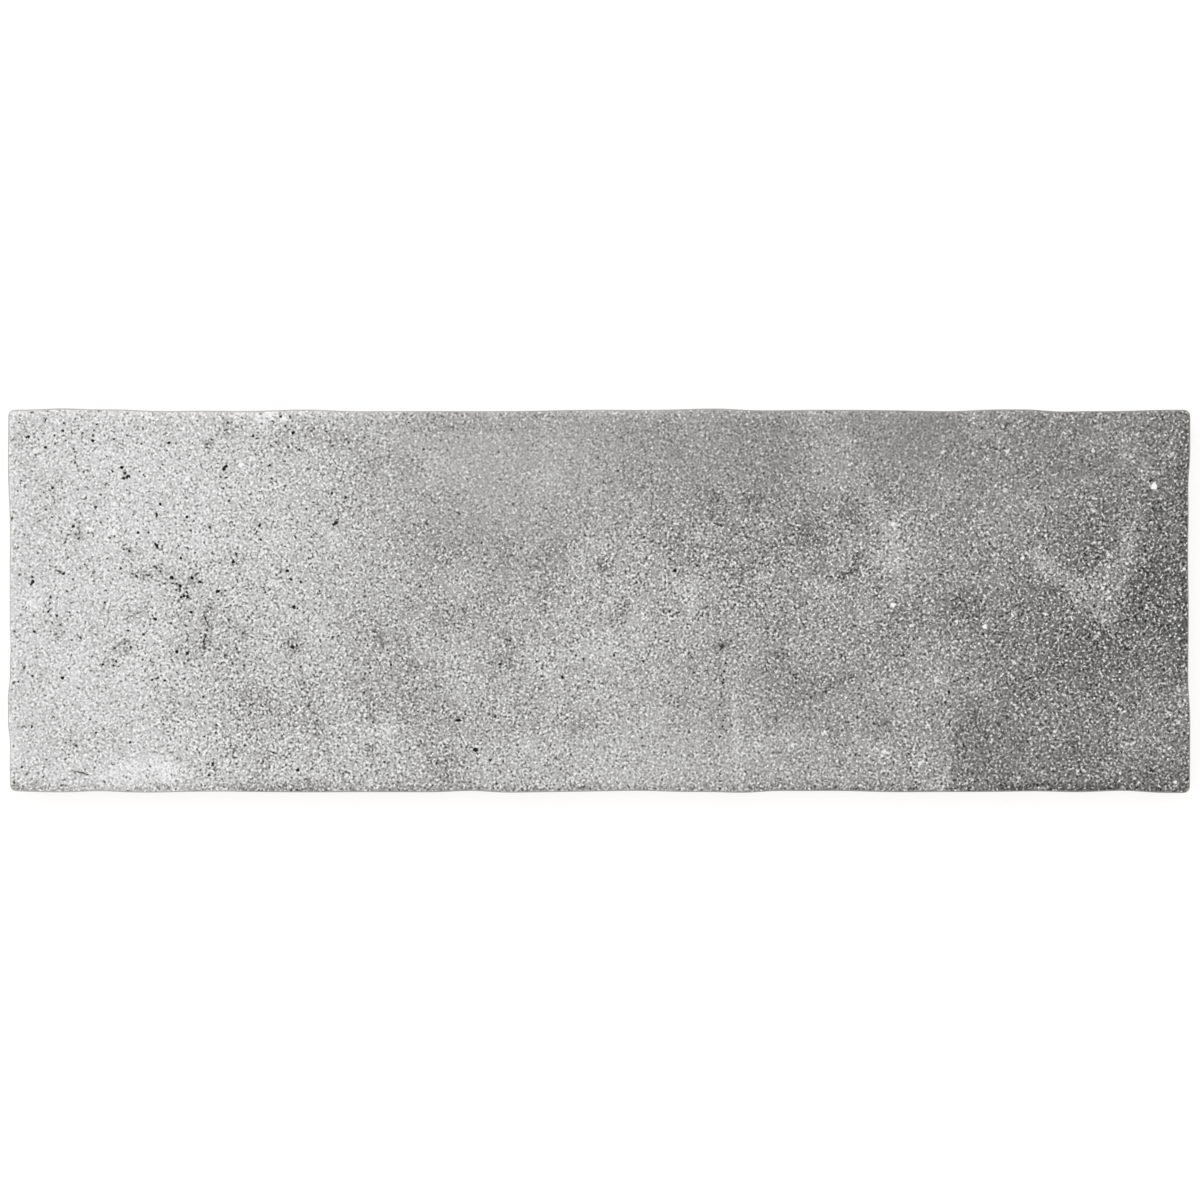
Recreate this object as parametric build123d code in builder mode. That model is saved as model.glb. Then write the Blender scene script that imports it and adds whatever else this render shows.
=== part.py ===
"""Rustic brick-format ceramic wall tile: one dry-pressed, fired piece.

Nominal 200 x 65 mm, lying face up on its keyed back.
X runs along the length, Y across the width and Z up through the thickness.
The origin is the middle of the back plane. Millimetres throughout.
"""

import os

from build123d import *

# --- driving dimensions -------------------------------------------------
LENGTH = 200.0  # nominal, between the mean lines of the two short edges
WIDTH = 64.8  # nominal, between the mean lines of the two long edges
THICKNESS = 8.3  # back plane to glazed face

CORNER_RADIUS = 1.1  # rounded corners, seen from above
ARRIS_RADIUS = 0.8  # soft edge where the glazed face rolls over
SIDE_TAPER_RISE = 3.2  # the wall leans in towards the back over this height
SIDE_TAPER_IN = 0.45  # and by this much

# Shallow pressed keys in the back, for the adhesive to grip
KEY_DEPTH = 0.7
KEY_LENGTH = 43.0
KEY_WIDTH = 6.0
KEY_PITCH_X = 47.0
KEY_PITCH_Y = 9.0
KEY_COLUMNS = 4
KEY_ROWS = 6  # even, so that a rib runs along the middle of the back
KEY_FLOOR_RADIUS = 0.3

# --- the wavy edges -----------------------------------------------------
# Each pair is a place along the edge and how far the edge stands outside
# (+) or inside (-) its mean line there.
FAR_WAVE = [
    (-94.5, 0.09), (-91.5, 0.22), (-86.4, 0.07), (-80.9, 0.02), (-76.2, -0.20),
    (-67.7, -0.18), (-59.2, -0.22), (-53.3, -0.05), (-49.1, 0.01), (-43.1, -0.22),
    (-37.2, -0.26), (-28.7, -0.25), (-20.2, -0.25), (-12.6, -0.22), (-5.0, -0.06),
    (3.5, -0.03), (11.2, 0.00), (17.1, 0.16), (20.8, 0.17), (24.9, -0.03),
    (34.1, -0.05), (44.2, -0.04), (51.9, -0.13), (57.8, -0.24), (60.7, -0.23),
    (65.4, -0.01), (70.0, 0.05), (74.1, -0.03), (77.3, -0.27), (82.4, -0.25),
    (88.3, -0.23), (93.4, -0.08),
]  # fmt: skip
NEAR_WAVE = [
    (-94.5, 0.07), (-91.5, 0.12), (-88.9, 0.07), (-85.0, -0.08), (-80.9, 0.07),
    (-76.5, 0.16), (-70.3, 0.05), (-64.7, -0.01), (-53.8, 0.10), (-42.3, 0.10),
    (-32.1, 0.10), (-27.0, 0.07), (-23.6, -0.08), (-20.6, -0.10), (-17.7, 0.09),
    (-11.7, 0.13), (-5.0, 0.04), (1.0, -0.06), (8.6, -0.11), (14.0, 0.05),
    (19.6, 0.09), (24.9, 0.18), (29.0, -0.06), (34.1, -0.10), (41.7, -0.10),
    (48.5, 0.07), (57.8, 0.07), (65.4, 0.05), (69.7, 0.00), (75.6, -0.03),
    (81.5, 0.09), (85.8, -0.06), (90.0, -0.11), (93.4, 0.12),
]  # fmt: skip
LEFT_WAVE = [
    (-27.0, -0.04), (-23.3, 0.02), (-21.3, 0.26), (-18.5, 0.29), (-15.7, 0.27),
    (-14.0, 0.05), (-11.4, -0.03), (-7.9, -0.13), (-5.0, -0.05), (0.1, -0.02),
    (6.9, -0.02), (12.8, -0.04), (17.1, 0.12), (20.5, 0.26), (27.2, 0.28),
]  # fmt: skip
RIGHT_WAVE = [
    (-27.9, 0.23), (-22.8, 0.26), (-18.2, 0.19), (-15.5, 0.02), (-12.6, -0.07),
    (-10.1, -0.05), (-6.7, -0.02), (-1.2, 0.01), (4.4, -0.06), (11.1, -0.06),
    (15.4, 0.00), (20.8, 0.00), (23.2, 0.19), (25.9, 0.27),
]  # fmt: skip

HALF_L, HALF_W = LENGTH / 2, WIDTH / 2

# The sharp corners that the edges run to, before they are rounded
FAR_LEFT = (-HALF_L - 0.24, HALF_W)
FAR_RIGHT = (HALF_L + 0.27, HALF_W - 0.01)
NEAR_RIGHT = (HALF_L + 0.21, -HALF_W - 0.22)
NEAR_LEFT = (-HALF_L + 0.07, -HALF_W + 0.10)

far_points = [(x, HALF_W + d) for x, d in FAR_WAVE]
near_points = [(x, -HALF_W - d) for x, d in NEAR_WAVE]
left_points = [(-HALF_L - d, y) for y, d in LEFT_WAVE]
right_points = [(HALF_L + d, y) for y, d in RIGHT_WAVE]

# --- the tile -----------------------------------------------------------
with BuildPart() as tile:
    # Wavy outline, pressed up to full thickness
    with BuildSketch(Plane.XY) as outline:
        with BuildLine():
            Spline(FAR_LEFT, *far_points, FAR_RIGHT)
            Spline(NEAR_RIGHT, *right_points, FAR_RIGHT)
            Spline(NEAR_LEFT, *near_points, NEAR_RIGHT)
            Spline(NEAR_LEFT, *left_points, FAR_LEFT)
        make_face()
    extrude(amount=THICKNESS)

    # Rounded corners
    fillet(tile.edges().filter_by(Axis.Z), radius=CORNER_RADIUS)

    # The glazed face rolls over into the wall
    face_rim = tile.faces().sort_by(Axis.Z)[-1].edges()
    fillet(face_rim, radius=ARRIS_RADIUS)

    # The wall leans in towards the back
    back = tile.faces().sort_by(Axis.Z)[0]
    chamfer(
        back.edges(), length=SIDE_TAPER_IN, length2=SIDE_TAPER_RISE, reference=back
    )

    # Rows of round-ended keys, pressed into the back
    with BuildSketch(Plane.XY) as keys:
        with GridLocations(KEY_PITCH_X, KEY_PITCH_Y, KEY_COLUMNS, KEY_ROWS):
            SlotOverall(KEY_LENGTH, KEY_WIDTH)
    extrude(amount=KEY_DEPTH, mode=Mode.SUBTRACT)
    key_floors = (
        tile.faces().filter_by(GeomType.PLANE).filter_by_position(
            Axis.Z, KEY_DEPTH - 0.01, KEY_DEPTH + 0.01
        )
    )
    fillet(key_floors.edges(), radius=KEY_FLOOR_RADIUS)

tile.part.label = "tile"

os.makedirs("parts", exist_ok=True)
export_step(tile.part, "parts/tile.step")

box = tile.part.bounding_box()
print("size", box.size)
print("centre", box.center())
print("volume", round(tile.part.volume, 1), "mm3")
print("solids", len(tile.part.solids()), "faces", len(tile.part.faces()))
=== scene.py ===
"""Rustic brick-format wall tile, lying face up: its relief, its finish and a plain studio.

The tile is worked out in millimetres, with X along the length, Y across the width
and Z out of the face, as in the part, and goes into the scene in metres.
"""

import math

import bpy
import numpy as np
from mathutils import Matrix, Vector
from mathutils.geometry import delaunay_2d_cdt


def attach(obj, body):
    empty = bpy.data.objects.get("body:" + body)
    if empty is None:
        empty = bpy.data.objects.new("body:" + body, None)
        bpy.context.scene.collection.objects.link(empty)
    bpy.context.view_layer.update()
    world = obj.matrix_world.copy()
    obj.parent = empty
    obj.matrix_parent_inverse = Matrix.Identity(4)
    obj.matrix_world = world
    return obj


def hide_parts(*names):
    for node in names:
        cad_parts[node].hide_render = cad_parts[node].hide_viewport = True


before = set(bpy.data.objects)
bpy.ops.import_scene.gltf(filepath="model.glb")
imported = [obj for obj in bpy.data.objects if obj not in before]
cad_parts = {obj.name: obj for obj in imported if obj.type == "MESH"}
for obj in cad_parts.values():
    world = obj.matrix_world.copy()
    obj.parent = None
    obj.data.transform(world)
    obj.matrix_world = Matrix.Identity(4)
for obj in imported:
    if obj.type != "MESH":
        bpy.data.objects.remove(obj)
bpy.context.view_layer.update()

# ==== tones of the face =================================================
PX = 0.16961  # millimetres on the face to one pixel of the photograph
PX_X, PX_Y = 599.2, 600.65  # the pixel over the tile's origin


def to_mm(px, py):
    return (px - PX_X) * PX, (PX_Y - py) * PX


def to_px(x, y):
    return x / PX + PX_X, PX_Y - y / PX


class Noise:
    """Seeded gradient noise over the plane, about -0.7 to 0.7."""

    def __init__(self, seed):
        rng = np.random.default_rng(seed)
        self.order = rng.permutation(1024)
        turn = rng.uniform(0.0, 2.0 * np.pi, 1024)
        self.gx, self.gy = np.cos(turn), np.sin(turn)

    def corner(self, ix, iy, dx, dy):
        k = self.order[(ix + self.order[iy & 1023]) & 1023]
        return self.gx[k] * dx + self.gy[k] * dy

    def __call__(self, x, y):
        fx, fy = np.floor(x), np.floor(y)
        ix, iy = fx.astype(int), fy.astype(int)
        dx, dy = x - fx, y - fy
        u = dx**3 * (dx * (6.0 * dx - 15.0) + 10.0)
        v = dy**3 * (dy * (6.0 * dy - 15.0) + 10.0)
        a = self.corner(ix, iy, dx, dy)
        b = self.corner(ix + 1, iy, dx - 1.0, dy)
        c = self.corner(ix, iy + 1, dx, dy - 1.0)
        d = self.corner(ix + 1, iy + 1, dx - 1.0, dy - 1.0)
        return (a + (b - a) * u) * (1.0 - v) + (c + (d - c) * u) * v

    def rough(self, x, y, octaves, gain=0.5):
        total, size, freq = 0.0, 1.0, 1.0
        for i in range(octaves):
            total = total + size * self(x * freq + 17.3 * i, y * freq - 9.1 * i)
            size *= gain
            freq *= 2.03
        return total


def smooth(lo, hi, x):
    t = np.clip((x - lo) / (hi - lo), 0.0, 1.0)
    return t * t * (3.0 - 2.0 * t)


def along(points, px, py):
    """Distance to a line of points, signed (+ on its left as seen), and how far along it, 0 to 1."""
    best = np.full(px.shape, 1e9)
    side = np.ones(px.shape)
    where = np.zeros(px.shape)
    steps = [math.dist(a, b) for a, b in zip(points, points[1:])]
    done = 0.0
    for (ax, ay), (bx, by), step in zip(points, points[1:], steps):
        ux, uy = (bx - ax) / step, (by - ay) / step
        t = np.clip((px - ax) * ux + (py - ay) * uy, 0.0, step)
        dist = np.hypot(px - ax - t * ux, py - ay - t * uy)
        near = dist < best
        best = np.where(near, dist, best)
        side = np.where(near, np.sign((px - ax) * uy - (py - ay) * ux), side)
        where = np.where(near, (done + t) / sum(steps), where)
        done += step
    return best, side, where


def within(ring, x, y):
    """Which places lie inside a closed ring of points."""
    odd = np.zeros(x.shape, bool)
    for (ax, ay), (bx, by) in zip(ring, np.roll(ring, -1, 0)):
        if ay != by:
            crosses = (ay > y) != (by > y)
            odd ^= crosses & (x < (bx - ax) * (y - ay) / (by - ay) + ax)
    return odd


# Mean tone down the length of the tile, light at the left end to dark at the right
FADE = [
    (8, 206), (60, 205), (140, 202), (300, 188), (365, 178), (445, 169), (520, 169),
    (600, 170), (680, 166), (755, 155), (835, 148), (910, 146), (990, 133), (1190, 110),
]  # fmt: skip

# Patches of firmer outline: how much lighter or darker, how soft the edge is, and the outline
PATCHES = [
    # left end
    (3, 26, [(85, 445), (190, 435), (290, 455), (300, 520), (285, 555), (200, 560), (110, 545), (75, 500)]),
    (-9, 14, [(172, 608), (200, 598), (232, 604), (252, 628), (258, 662), (226, 674), (188, 668), (166, 648)]),
    (-17, 3, [(207, 600), (213, 612), (210, 632), (206, 652), (198, 653), (203, 635), (204, 614)]),
    (-19, 4, [(118, 638), (128, 633), (134, 644), (130, 655), (118, 663), (107, 669), (103, 662), (113, 652)]),
    (-22, 3, [(127, 571), (145, 572), (158, 573), (156, 580), (140, 579), (129, 578)]),
    (-18, 5, [(148, 566), (165, 566), (176, 578), (184, 586), (178, 590), (166, 582), (154, 573)]),
    (-5, 16, [(215, 680), (262, 676), (320, 688), (332, 745), (320, 765), (250, 762), (214, 730)]),
    (-11, 4, [(240, 690), (258, 688), (270, 704), (290, 709), (303, 717), (291, 725), (270, 717), (251, 719), (243, 708)]),
    (-12, 4, [(302, 688), (316, 700), (323, 725), (329, 745), (318, 747), (304, 736)]),
    (9, 4, [(96, 776), (114, 766), (136, 762), (154, 755), (168, 755), (177, 765), (175, 783), (150, 787), (120, 788), (100, 787)]),
    (-18, 4, [(236, 794), (240, 785), (280, 781), (310, 779), (326, 785), (326, 794)]),
    (-8, 5, [(6, 770), (18, 778), (44, 782), (46, 794), (6, 794)]),
    # middle
    (4, 18, [(415, 445), (470, 440), (560, 450), (570, 495), (520, 510), (430, 500)]),
    (-7, 8, [(400, 408), (590, 408), (606, 430), (604, 462), (590, 455), (575, 440), (520, 432), (410, 436)]),
    (-7, 12, [(395, 522), (450, 515), (500, 535), (560, 535), (576, 546), (560, 577), (520, 577), (500, 570), (470, 565), (440, 560), (410, 572), (395, 552)]),
    (-16, 4, [(490, 630), (510, 634), (516, 645), (515, 668), (500, 669), (495, 660), (505, 650), (503, 640)]),
    (6, 8, [(410, 640), (440, 635), (465, 640), (470, 668), (482, 680), (486, 700), (465, 706), (450, 696), (440, 680), (425, 660)]),
    (-7, 9, [(400, 668), (415, 660), (430, 675), (440, 695), (462, 712), (456, 726), (430, 726), (415, 746), (400, 730), (390, 712), (370, 722), (360, 692), (345, 680), (370, 670)]),
    (-10, 4, [(440, 755), (455, 752), (461, 765), (453, 785), (438, 792), (435, 775)]),
    (15, 4, [(328, 531), (341, 530), (342, 548), (332, 552), (327, 545)]),
    (-12, 5, [(562, 728), (575, 718), (588, 713), (606, 720), (600, 728), (575, 736)]),
    (-23, 4, [(595, 557), (606, 560), (615, 568), (613, 577), (602, 575), (593, 566)]),
    (-20, 4, [(625, 595), (631, 600), (628, 613), (620, 627), (610, 622), (613, 610)]),
    (9, 7, [(596, 626), (612, 628), (622, 640), (620, 660), (600, 670), (580, 665), (578, 645)]),
    (8, 9, [(478, 745), (520, 740), (560, 746), (600, 735), (640, 738), (700, 735), (760, 733), (800, 724), (840, 745), (905, 745), (905, 785), (478, 785)]),
    (-10, 14, [(600, 408), (700, 408), (790, 408), (802, 440), (800, 480), (790, 512), (822, 520), (822, 546), (780, 562), (740, 576), (700, 570), (655, 562), (640, 530), (620, 480)]),
    (-11, 5, [(704, 485), (720, 490), (728, 518), (742, 531), (724, 533), (707, 516)]),
    (-15, 5, [(664, 694), (690, 690), (695, 700), (680, 708), (662, 704)]),
    # right
    (-12, 4, [(808, 511), (815, 525), (819, 541), (806, 549), (794, 546), (791, 534), (803, 528)]),
    (-14, 4, [(838, 512), (848, 507), (863, 512), (859, 523), (852, 533), (848, 521)]),
    (-18, 3, [(857, 552), (862, 562), (861, 579), (840, 581), (834, 572), (848, 570)]),
    (10, 6, [(822, 435), (845, 430), (862, 450), (866, 470), (871, 486), (883, 500), (880, 521), (868, 506), (850, 491), (840, 500), (825, 490), (814, 470), (814, 450)]),
    (19, 5, [(888, 521), (898, 516), (904, 530), (906, 560), (900, 576), (884, 573), (873, 565), (871, 555), (880, 540)]),
    (-6, 5, [(862, 406), (960, 406), (958, 440), (996, 445), (985, 456), (950, 460), (920, 462), (906, 490), (891, 506), (879, 500), (869, 480), (864, 450)]),
    (-10, 6, [(762, 665), (780, 660), (812, 670), (830, 673), (855, 668), (858, 678), (838, 690), (815, 706), (790, 713), (768, 706), (764, 690)]),
    (-12, 4, [(895, 600), (905, 590), (918, 600), (920, 621), (900, 627), (883, 625), (886, 612)]),
    (-15, 4, [(938, 612), (946, 600), (955, 589), (967, 587), (973, 598), (981, 606), (981, 623), (968, 623), (955, 618), (945, 623)]),
    (6, 9, [(912, 632), (985, 625), (986, 650), (983, 690), (960, 700), (940, 700), (915, 690), (907, 660)]),
    (9, 12, [(990, 480), (1030, 490), (1049, 505), (1040, 540), (1015, 551), (985, 556), (978, 530)]),
    (22, 4, [(1028, 554), (1038, 545), (1050, 551), (1064, 565), (1073, 575), (1088, 578), (1099, 586), (1110, 600), (1113, 621), (1102, 621), (1089, 609), (1077, 601), (1065, 587), (1049, 581), (1035, 571)]),
    (17, 4, [(1088, 578), (1095, 571), (1106, 557), (1117, 544), (1121, 529), (1130, 526), (1137, 534), (1138, 548), (1131, 562), (1124, 582), (1117, 602), (1110, 600), (1099, 586)]),
    (8, 9, [(1121, 532), (1117, 480), (1113, 440), (1118, 412), (1142, 418), (1147, 470), (1143, 532)]),
    (8, 16, [(1100, 408), (1188, 408), (1186, 470), (1150, 480), (1110, 450)]),
    (-11, 6, [(1127, 602), (1133, 582), (1145, 562), (1158, 554), (1176, 560), (1190, 575), (1190, 645), (1160, 638), (1138, 628), (1124, 618)]),
    (-9, 5, [(1144, 506), (1158, 503), (1166, 514), (1160, 528), (1146, 526)]),
    (-5, 8, [(1062, 520), (1105, 512), (1112, 545), (1096, 566), (1076, 566), (1060, 545)]),
    (-7, 12, [(1038, 590), (1070, 604), (1100, 626), (1125, 632), (1152, 640), (1140, 670), (1110, 680), (1070, 690), (1040, 700), (1010, 706), (1004, 690), (1020, 670), (1030, 640), (1028, 600)]),
    (-9, 5, [(954, 794), (952, 770), (953, 745), (960, 714), (970, 704), (985, 714), (1000, 730), (1022, 735), (1012, 760), (1012, 794)]),
    (12, 10, [(1132, 690), (1150, 680), (1190, 684), (1190, 760), (1160, 762), (1130, 762), (1111, 745), (1118, 720)]),
    (8, 6, [(905, 740), (925, 730), (945, 745), (950, 770), (948, 794), (925, 794), (911, 775)]),
    (-16, 3, [(1000, 794), (1000, 784), (1040, 781), (1075, 784), (1130, 782), (1130, 794)]),
    (-2, 6, [(1134, 794), (1138, 770), (1160, 764), (1178, 772), (1180, 794)]),
]  # fmt: skip

# Soft clouds: middle, half sizes, turn in degrees, how much lighter or darker, hardness
CLOUDS = [
    # left end
    (168, 772, 11, 11, 0, 13, 2), (130, 771, 16, 9, 0, 4, 2), (194, 577, 13, 10, -30, -12, 2),
    (184, 593, 10, 8, 0, -11, 2), (227, 431, 16, 6, 25, -12, 2), (207, 444, 8, 6, 0, -10, 2),
    (56, 628, 8, 16, 20, -10, 2), (93, 626, 8, 7, 0, -8, 2), (107, 738, 14, 14, 0, -6, 2),
    (72, 745, 16, 10, 0, -11, 2), (112, 706, 9, 7, 0, -6, 2), (168, 715, 14, 10, 0, -12, 2),
    (272, 540, 18, 15, 0, 5, 2), (206, 518, 14, 26, 0, 5, 2), (236, 561, 20, 6, 8, -12, 2),
    (275, 558, 9, 6, 0, -9, 2), (78, 530, 6, 20, -8, -11, 2), (44, 488, 20, 18, 0, -8, 2),
    (45, 526, 20, 14, 0, -6, 2), (262, 765, 6, 20, -12, -12, 2), (235, 750, 9, 6, 0, -17, 2),
    (212, 764, 8, 7, 0, -18, 2), (272, 757, 7, 6, 0, -10, 2), (253, 727, 9, 7, 0, -13, 2),
    (218, 728, 11, 7, 0, -7, 2), (190, 583, 26, 22, 0, 0, 2), (182, 612, 8, 10, 0, -6, 2),
    (243, 633, 8, 7, 0, -12, 2), (127, 549, 8, 7, -40, -11, 2), (292, 645, 10, 10, 0, -26, 2),
    (30, 700, 22, 30, 0, -4, 2), (140, 611, 12, 6, 30, -8, 2), (182, 653, 14, 6, -10, -10, 2),
    (232, 654, 16, 10, -30, -1, 2), (170, 690, 16, 12, -40, -9, 2), (25, 440, 14, 12, 0, -11, 2),
    (264, 416, 10, 8, 0, 25, 2), (290, 446, 16, 8, -20, -9, 2), (82, 600, 20, 14, 0, -1, 2),
    (20, 575, 14, 10, 0, -3, 2), (232, 690, 10, 14, 0, -3, 2),
    # middle
    (507, 558, 6, 20, 0, -9, 2), (553, 551, 14, 10, 25, -11, 2), (545, 567, 14, 9, 0, -6, 2),
    (544, 595, 14, 12, 40, -14, 2), (527, 566, 6, 6, 0, -8, 2), (500, 598, 7, 7, 0, -16, 2),
    (481, 598, 12, 5, 15, -12, 2), (441, 620, 6, 10, 20, -11, 2), (463, 619, 8, 10, 0, -11, 2),
    (478, 618, 5, 8, 0, -6, 2), (457, 584, 15, 15, 30, 9, 2), (400, 591, 10, 8, 0, 3, 2),
    (350, 588, 14, 12, 0, 4, 2), (415, 668, 12, 7, 15, -7, 2), (410, 697, 10, 6, 0, -8, 2),
    (373, 696, 9, 11, 0, -9, 2), (371, 718, 7, 8, 0, -11, 2), (350, 679, 16, 6, 12, -13, 2),
    (455, 713, 7, 5, 0, -6, 2), (382, 730, 22, 13, 10, 11, 2), (545, 476, 16, 9, 25, 8, 2),
    (545, 658, 18, 16, 0, 7, 2), (310, 432, 14, 8, -15, -8, 2), (338, 439, 16, 6, 0, -16, 2),
    (370, 460, 16, 12, 0, -12, 2), (405, 462, 12, 11, 0, -10, 2), (379, 639, 4, 14, -22, -9, 2),
    (365, 660, 8, 6, 0, -9, 2), (404, 645, 8, 18, 0, -10, 2), (430, 758, 5, 8, 25, -11, 2),
    (370, 752, 8, 9, 0, -14, 2), (405, 768, 9, 9, 0, 4, 2), (481, 756, 13, 11, 0, 5, 2),
    (530, 748, 8, 12, 30, 7, 2), (585, 769, 10, 12, 0, 3, 2), (570, 613, 12, 8, 30, 8, 2),
    (575, 648, 8, 8, 0, 7, 2), (328, 630, 18, 16, 0, 7, 2), (360, 735, 40, 40, 0, 2, 2),
    (600, 462, 12, 20, 0, -3, 2), (650, 432, 14, 12, 40, -3, 2), (676, 430, 6, 20, 20, 0, 2),
    (754, 503, 12, 12, 0, -8, 2), (700, 440, 5, 34, 0, 4, 2), (642, 513, 8, 10, 0, 12, 2),
    (697, 535, 7, 8, 0, 14, 2), (691, 598, 5, 24, 0, 15, 3), (677, 591, 6, 7, 0, 12, 2),
    (722, 646, 8, 8, 0, -19, 2), (779, 657, 9, 7, 20, -18, 2), (741, 575, 7, 7, 0, -10, 2),
    (761, 564, 7, 7, 0, -6, 2), (743, 603, 6, 6, 0, -14, 2), (712, 608, 10, 5, -10, -12, 2),
    (666, 607, 7, 6, 0, -13, 2), (764, 577, 12, 8, 30, 15, 2), (719, 690, 4, 60, 2, -4, 3),
    (737, 735, 5, 56, 2, 12, 3), (757, 745, 6, 13, -15, 15, 2), (791, 738, 11, 11, 0, 7, 2),
    (622, 775, 12, 10, 0, 5, 2), (654, 720, 7, 14, -35, 10, 2), (690, 664, 10, 14, -30, -9, 2),
    (773, 628, 5, 12, 12, -11, 2), (785, 628, 4, 18, 0, -10, 2), (700, 558, 40, 5, 0, -3, 2),
    (640, 640, 10, 10, 0, 12, 2), (684, 541, 7, 7, 0, -3, 2),
    # right
    (839, 553, 12, 12, 0, 3, 2), (815, 586, 14, 10, 20, 10, 2), (867, 615, 9, 8, 0, 12, 2),
    (843, 655, 14, 20, 0, 0, 2), (881, 683, 16, 5, 18, 10, 2), (906, 704, 6, 22, -20, 12, 2),
    (885, 724, 8, 7, 0, -16, 2), (885, 751, 8, 6, 0, 12, 2), (860, 740, 7, 7, 0, 14, 2),
    (870, 753, 10, 5, 0, 7, 2), (893, 523, 5, 5, 0, 12, 2), (920, 762, 7, 6, 0, 16, 2),
    (938, 785, 8, 8, 0, 14, 2), (936, 680, 8, 6, -15, 13, 2), (967, 678, 6, 6, 0, -7, 2),
    (1000, 580, 9, 13, -30, 3, 2), (975, 577, 22, 7, 0, 8, 2), (980, 566, 10, 8, 0, -4, 2),
    (1021, 565, 6, 12, -20, -6, 2), (1056, 590, 12, 8, 20, -11, 2), (1095, 655, 18, 22, 0, -6, 2),
    (1025, 691, 18, 15, 0, -7, 2), (1050, 668, 14, 8, 0, -5, 2), (975, 717, 5, 13, 8, -9, 2),
    (1005, 713, 5, 10, 8, -22, 2), (1018, 745, 7, 7, 0, -11, 2), (996, 733, 7, 7, 0, -5, 2),
    (1075, 748, 12, 8, 20, -5, 2), (1060, 741, 7, 7, 0, 9, 2), (1090, 720, 8, 8, 0, 3, 2),
    (1145, 741, 9, 8, 0, 10, 2), (1149, 695, 8, 8, 0, 2, 2), (1131, 708, 8, 10, -30, -10, 2),
    (1058, 490, 8, 7, -35, 11, 2), (1036, 506, 12, 10, 0, 3, 2), (1085, 482, 9, 6, 0, 13, 2),
    (1124, 455, 7, 7, 0, 9, 2), (1103, 434, 9, 6, 0, 9, 2), (1085, 445, 14, 5, 35, 10, 2),
    (1172, 455, 6, 8, 0, 11, 2), (1145, 475, 5, 9, 0, 9, 2), (952, 488, 12, 10, 0, 5, 2),
    (1002, 452, 10, 6, 0, 1, 2), (985, 432, 14, 10, 0, 10, 2), (925, 545, 12, 12, 0, 7, 2),
    (1128, 549, 6, 9, 0, 8, 2), (1040, 568, 8, 8, 0, 8, 2), (1172, 592, 9, 9, 0, 11, 2),
    (1184, 540, 7, 110, 0, -7, 3), (1148, 612, 6, 12, 0, -1, 2), (1140, 590, 10, 10, 0, -9, 2),
    (835, 733, 10, 12, 0, -2, 2), (900, 645, 14, 14, 0, -5, 2), (925, 655, 12, 12, 0, 6, 2),
    (800, 440, 12, 14, 0, 0, 2), (1062, 450, 20, 8, 0, -4, 2), (1100, 768, 10, 6, 0, -2, 2),
    # small ones between
    (320, 415, 10, 6, 0, 12, 2), (975, 415, 12, 8, 0, 11, 2), (403, 786, 12, 6, 0, -12, 2), (815, 565, 9, 9, 0, -13, 2),
    (1183, 659, 6, 9, 0, -11, 2), (772, 525, 9, 9, 0, 12, 2), (238, 415, 10, 6, 0, 10, 2), (901, 592, 9, 9, 0, 9, 2),
    (1171, 786, 8, 6, 0, 10, 2), (1183, 702, 6, 8, 0, 10, 2), (35, 600, 9, 9, 0, 11, 2), (895, 693, 9, 8, 0, 12, 2),
    (945, 437, 9, 9, 0, 11, 2), (1022, 786, 9, 6, 0, -9, 2), (307, 684, 9, 8, 0, -10, 2), (637, 619, 9, 9, 0, 10, 2),
    (1164, 690, 8, 8, 0, -9, 2), (969, 556, 9, 8, 0, 10, 2), (1041, 682, 9, 8, 0, 10, 2), (509, 675, 9, 8, 0, 9, 2),
    (557, 760, 9, 8, 0, -9, 2), (563, 786, 9, 5, 0, 8, 2), (1005, 749, 9, 9, 0, 10, 2), (927, 701, 8, 8, 0, 10, 2),
    (758, 605, 9, 9, 0, -10, 2), (1015, 601, 9, 9, 0, -9, 2), (1108, 765, 9, 7, 0, 9, 2), (414, 599, 8, 9, 0, -9, 2),
    (914, 718, 8, 8, 0, 9, 2), (814, 424, 9, 8, 0, 9, 2), (1108, 475, 9, 9, 0, 9, 2), (832, 592, 9, 8, 0, 9, 2),
    (774, 719, 9, 8, 0, -9, 2), (592, 544, 8, 6, -35, 7, 2), (30, 424, 14, 9, 0, -7, 2), (1035, 637, 11, 10, 0, 7, 2),
    (884, 599, 8, 8, 0, -5, 2), (779, 541, 9, 8, 0, -7, 2), (328, 751, 10, 10, 0, 6, 2), (633, 581, 9, 9, 0, 7, 2),
    (690, 433, 9, 10, 0, 6, 2), (1147, 569, 7, 8, 0, 4, 2), (367, 520, 10, 9, 0, -6, 2), (928, 566, 9, 8, 0, -7, 2),
    (1013, 707, 8, 8, 0, -6, 2), (219, 617, 9, 8, 0, -6, 2), (780, 590, 8, 8, 0, -7, 2), (1120, 669, 10, 9, 0, 6, 2),
    (73, 625, 9, 9, 0, -6, 2), (794, 471, 9, 9, 0, 6, 2), (826, 462, 9, 9, 0, 5, 2), (291, 676, 9, 8, 0, -6, 2),
    (951, 779, 6, 8, 0, 3, 2), (999, 746, 8, 8, 0, 5, 2), (1155, 719, 9, 9, 0, 6, 2), (615, 751, 9, 9, 0, 6, 2),
    (371, 768, 9, 8, 0, 6, 2), (432, 723, 9, 8, 0, -6, 2), (1026, 766, 9, 8, 0, -6, 2), (220, 508, 10, 9, 0, -6, 2),
    (1007, 496, 9, 9, 0, -5, 2), (933, 737, 9, 8, 0, 5, 2), (36, 774, 10, 8, 0, -5, 2),
    # broad and faint
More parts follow.
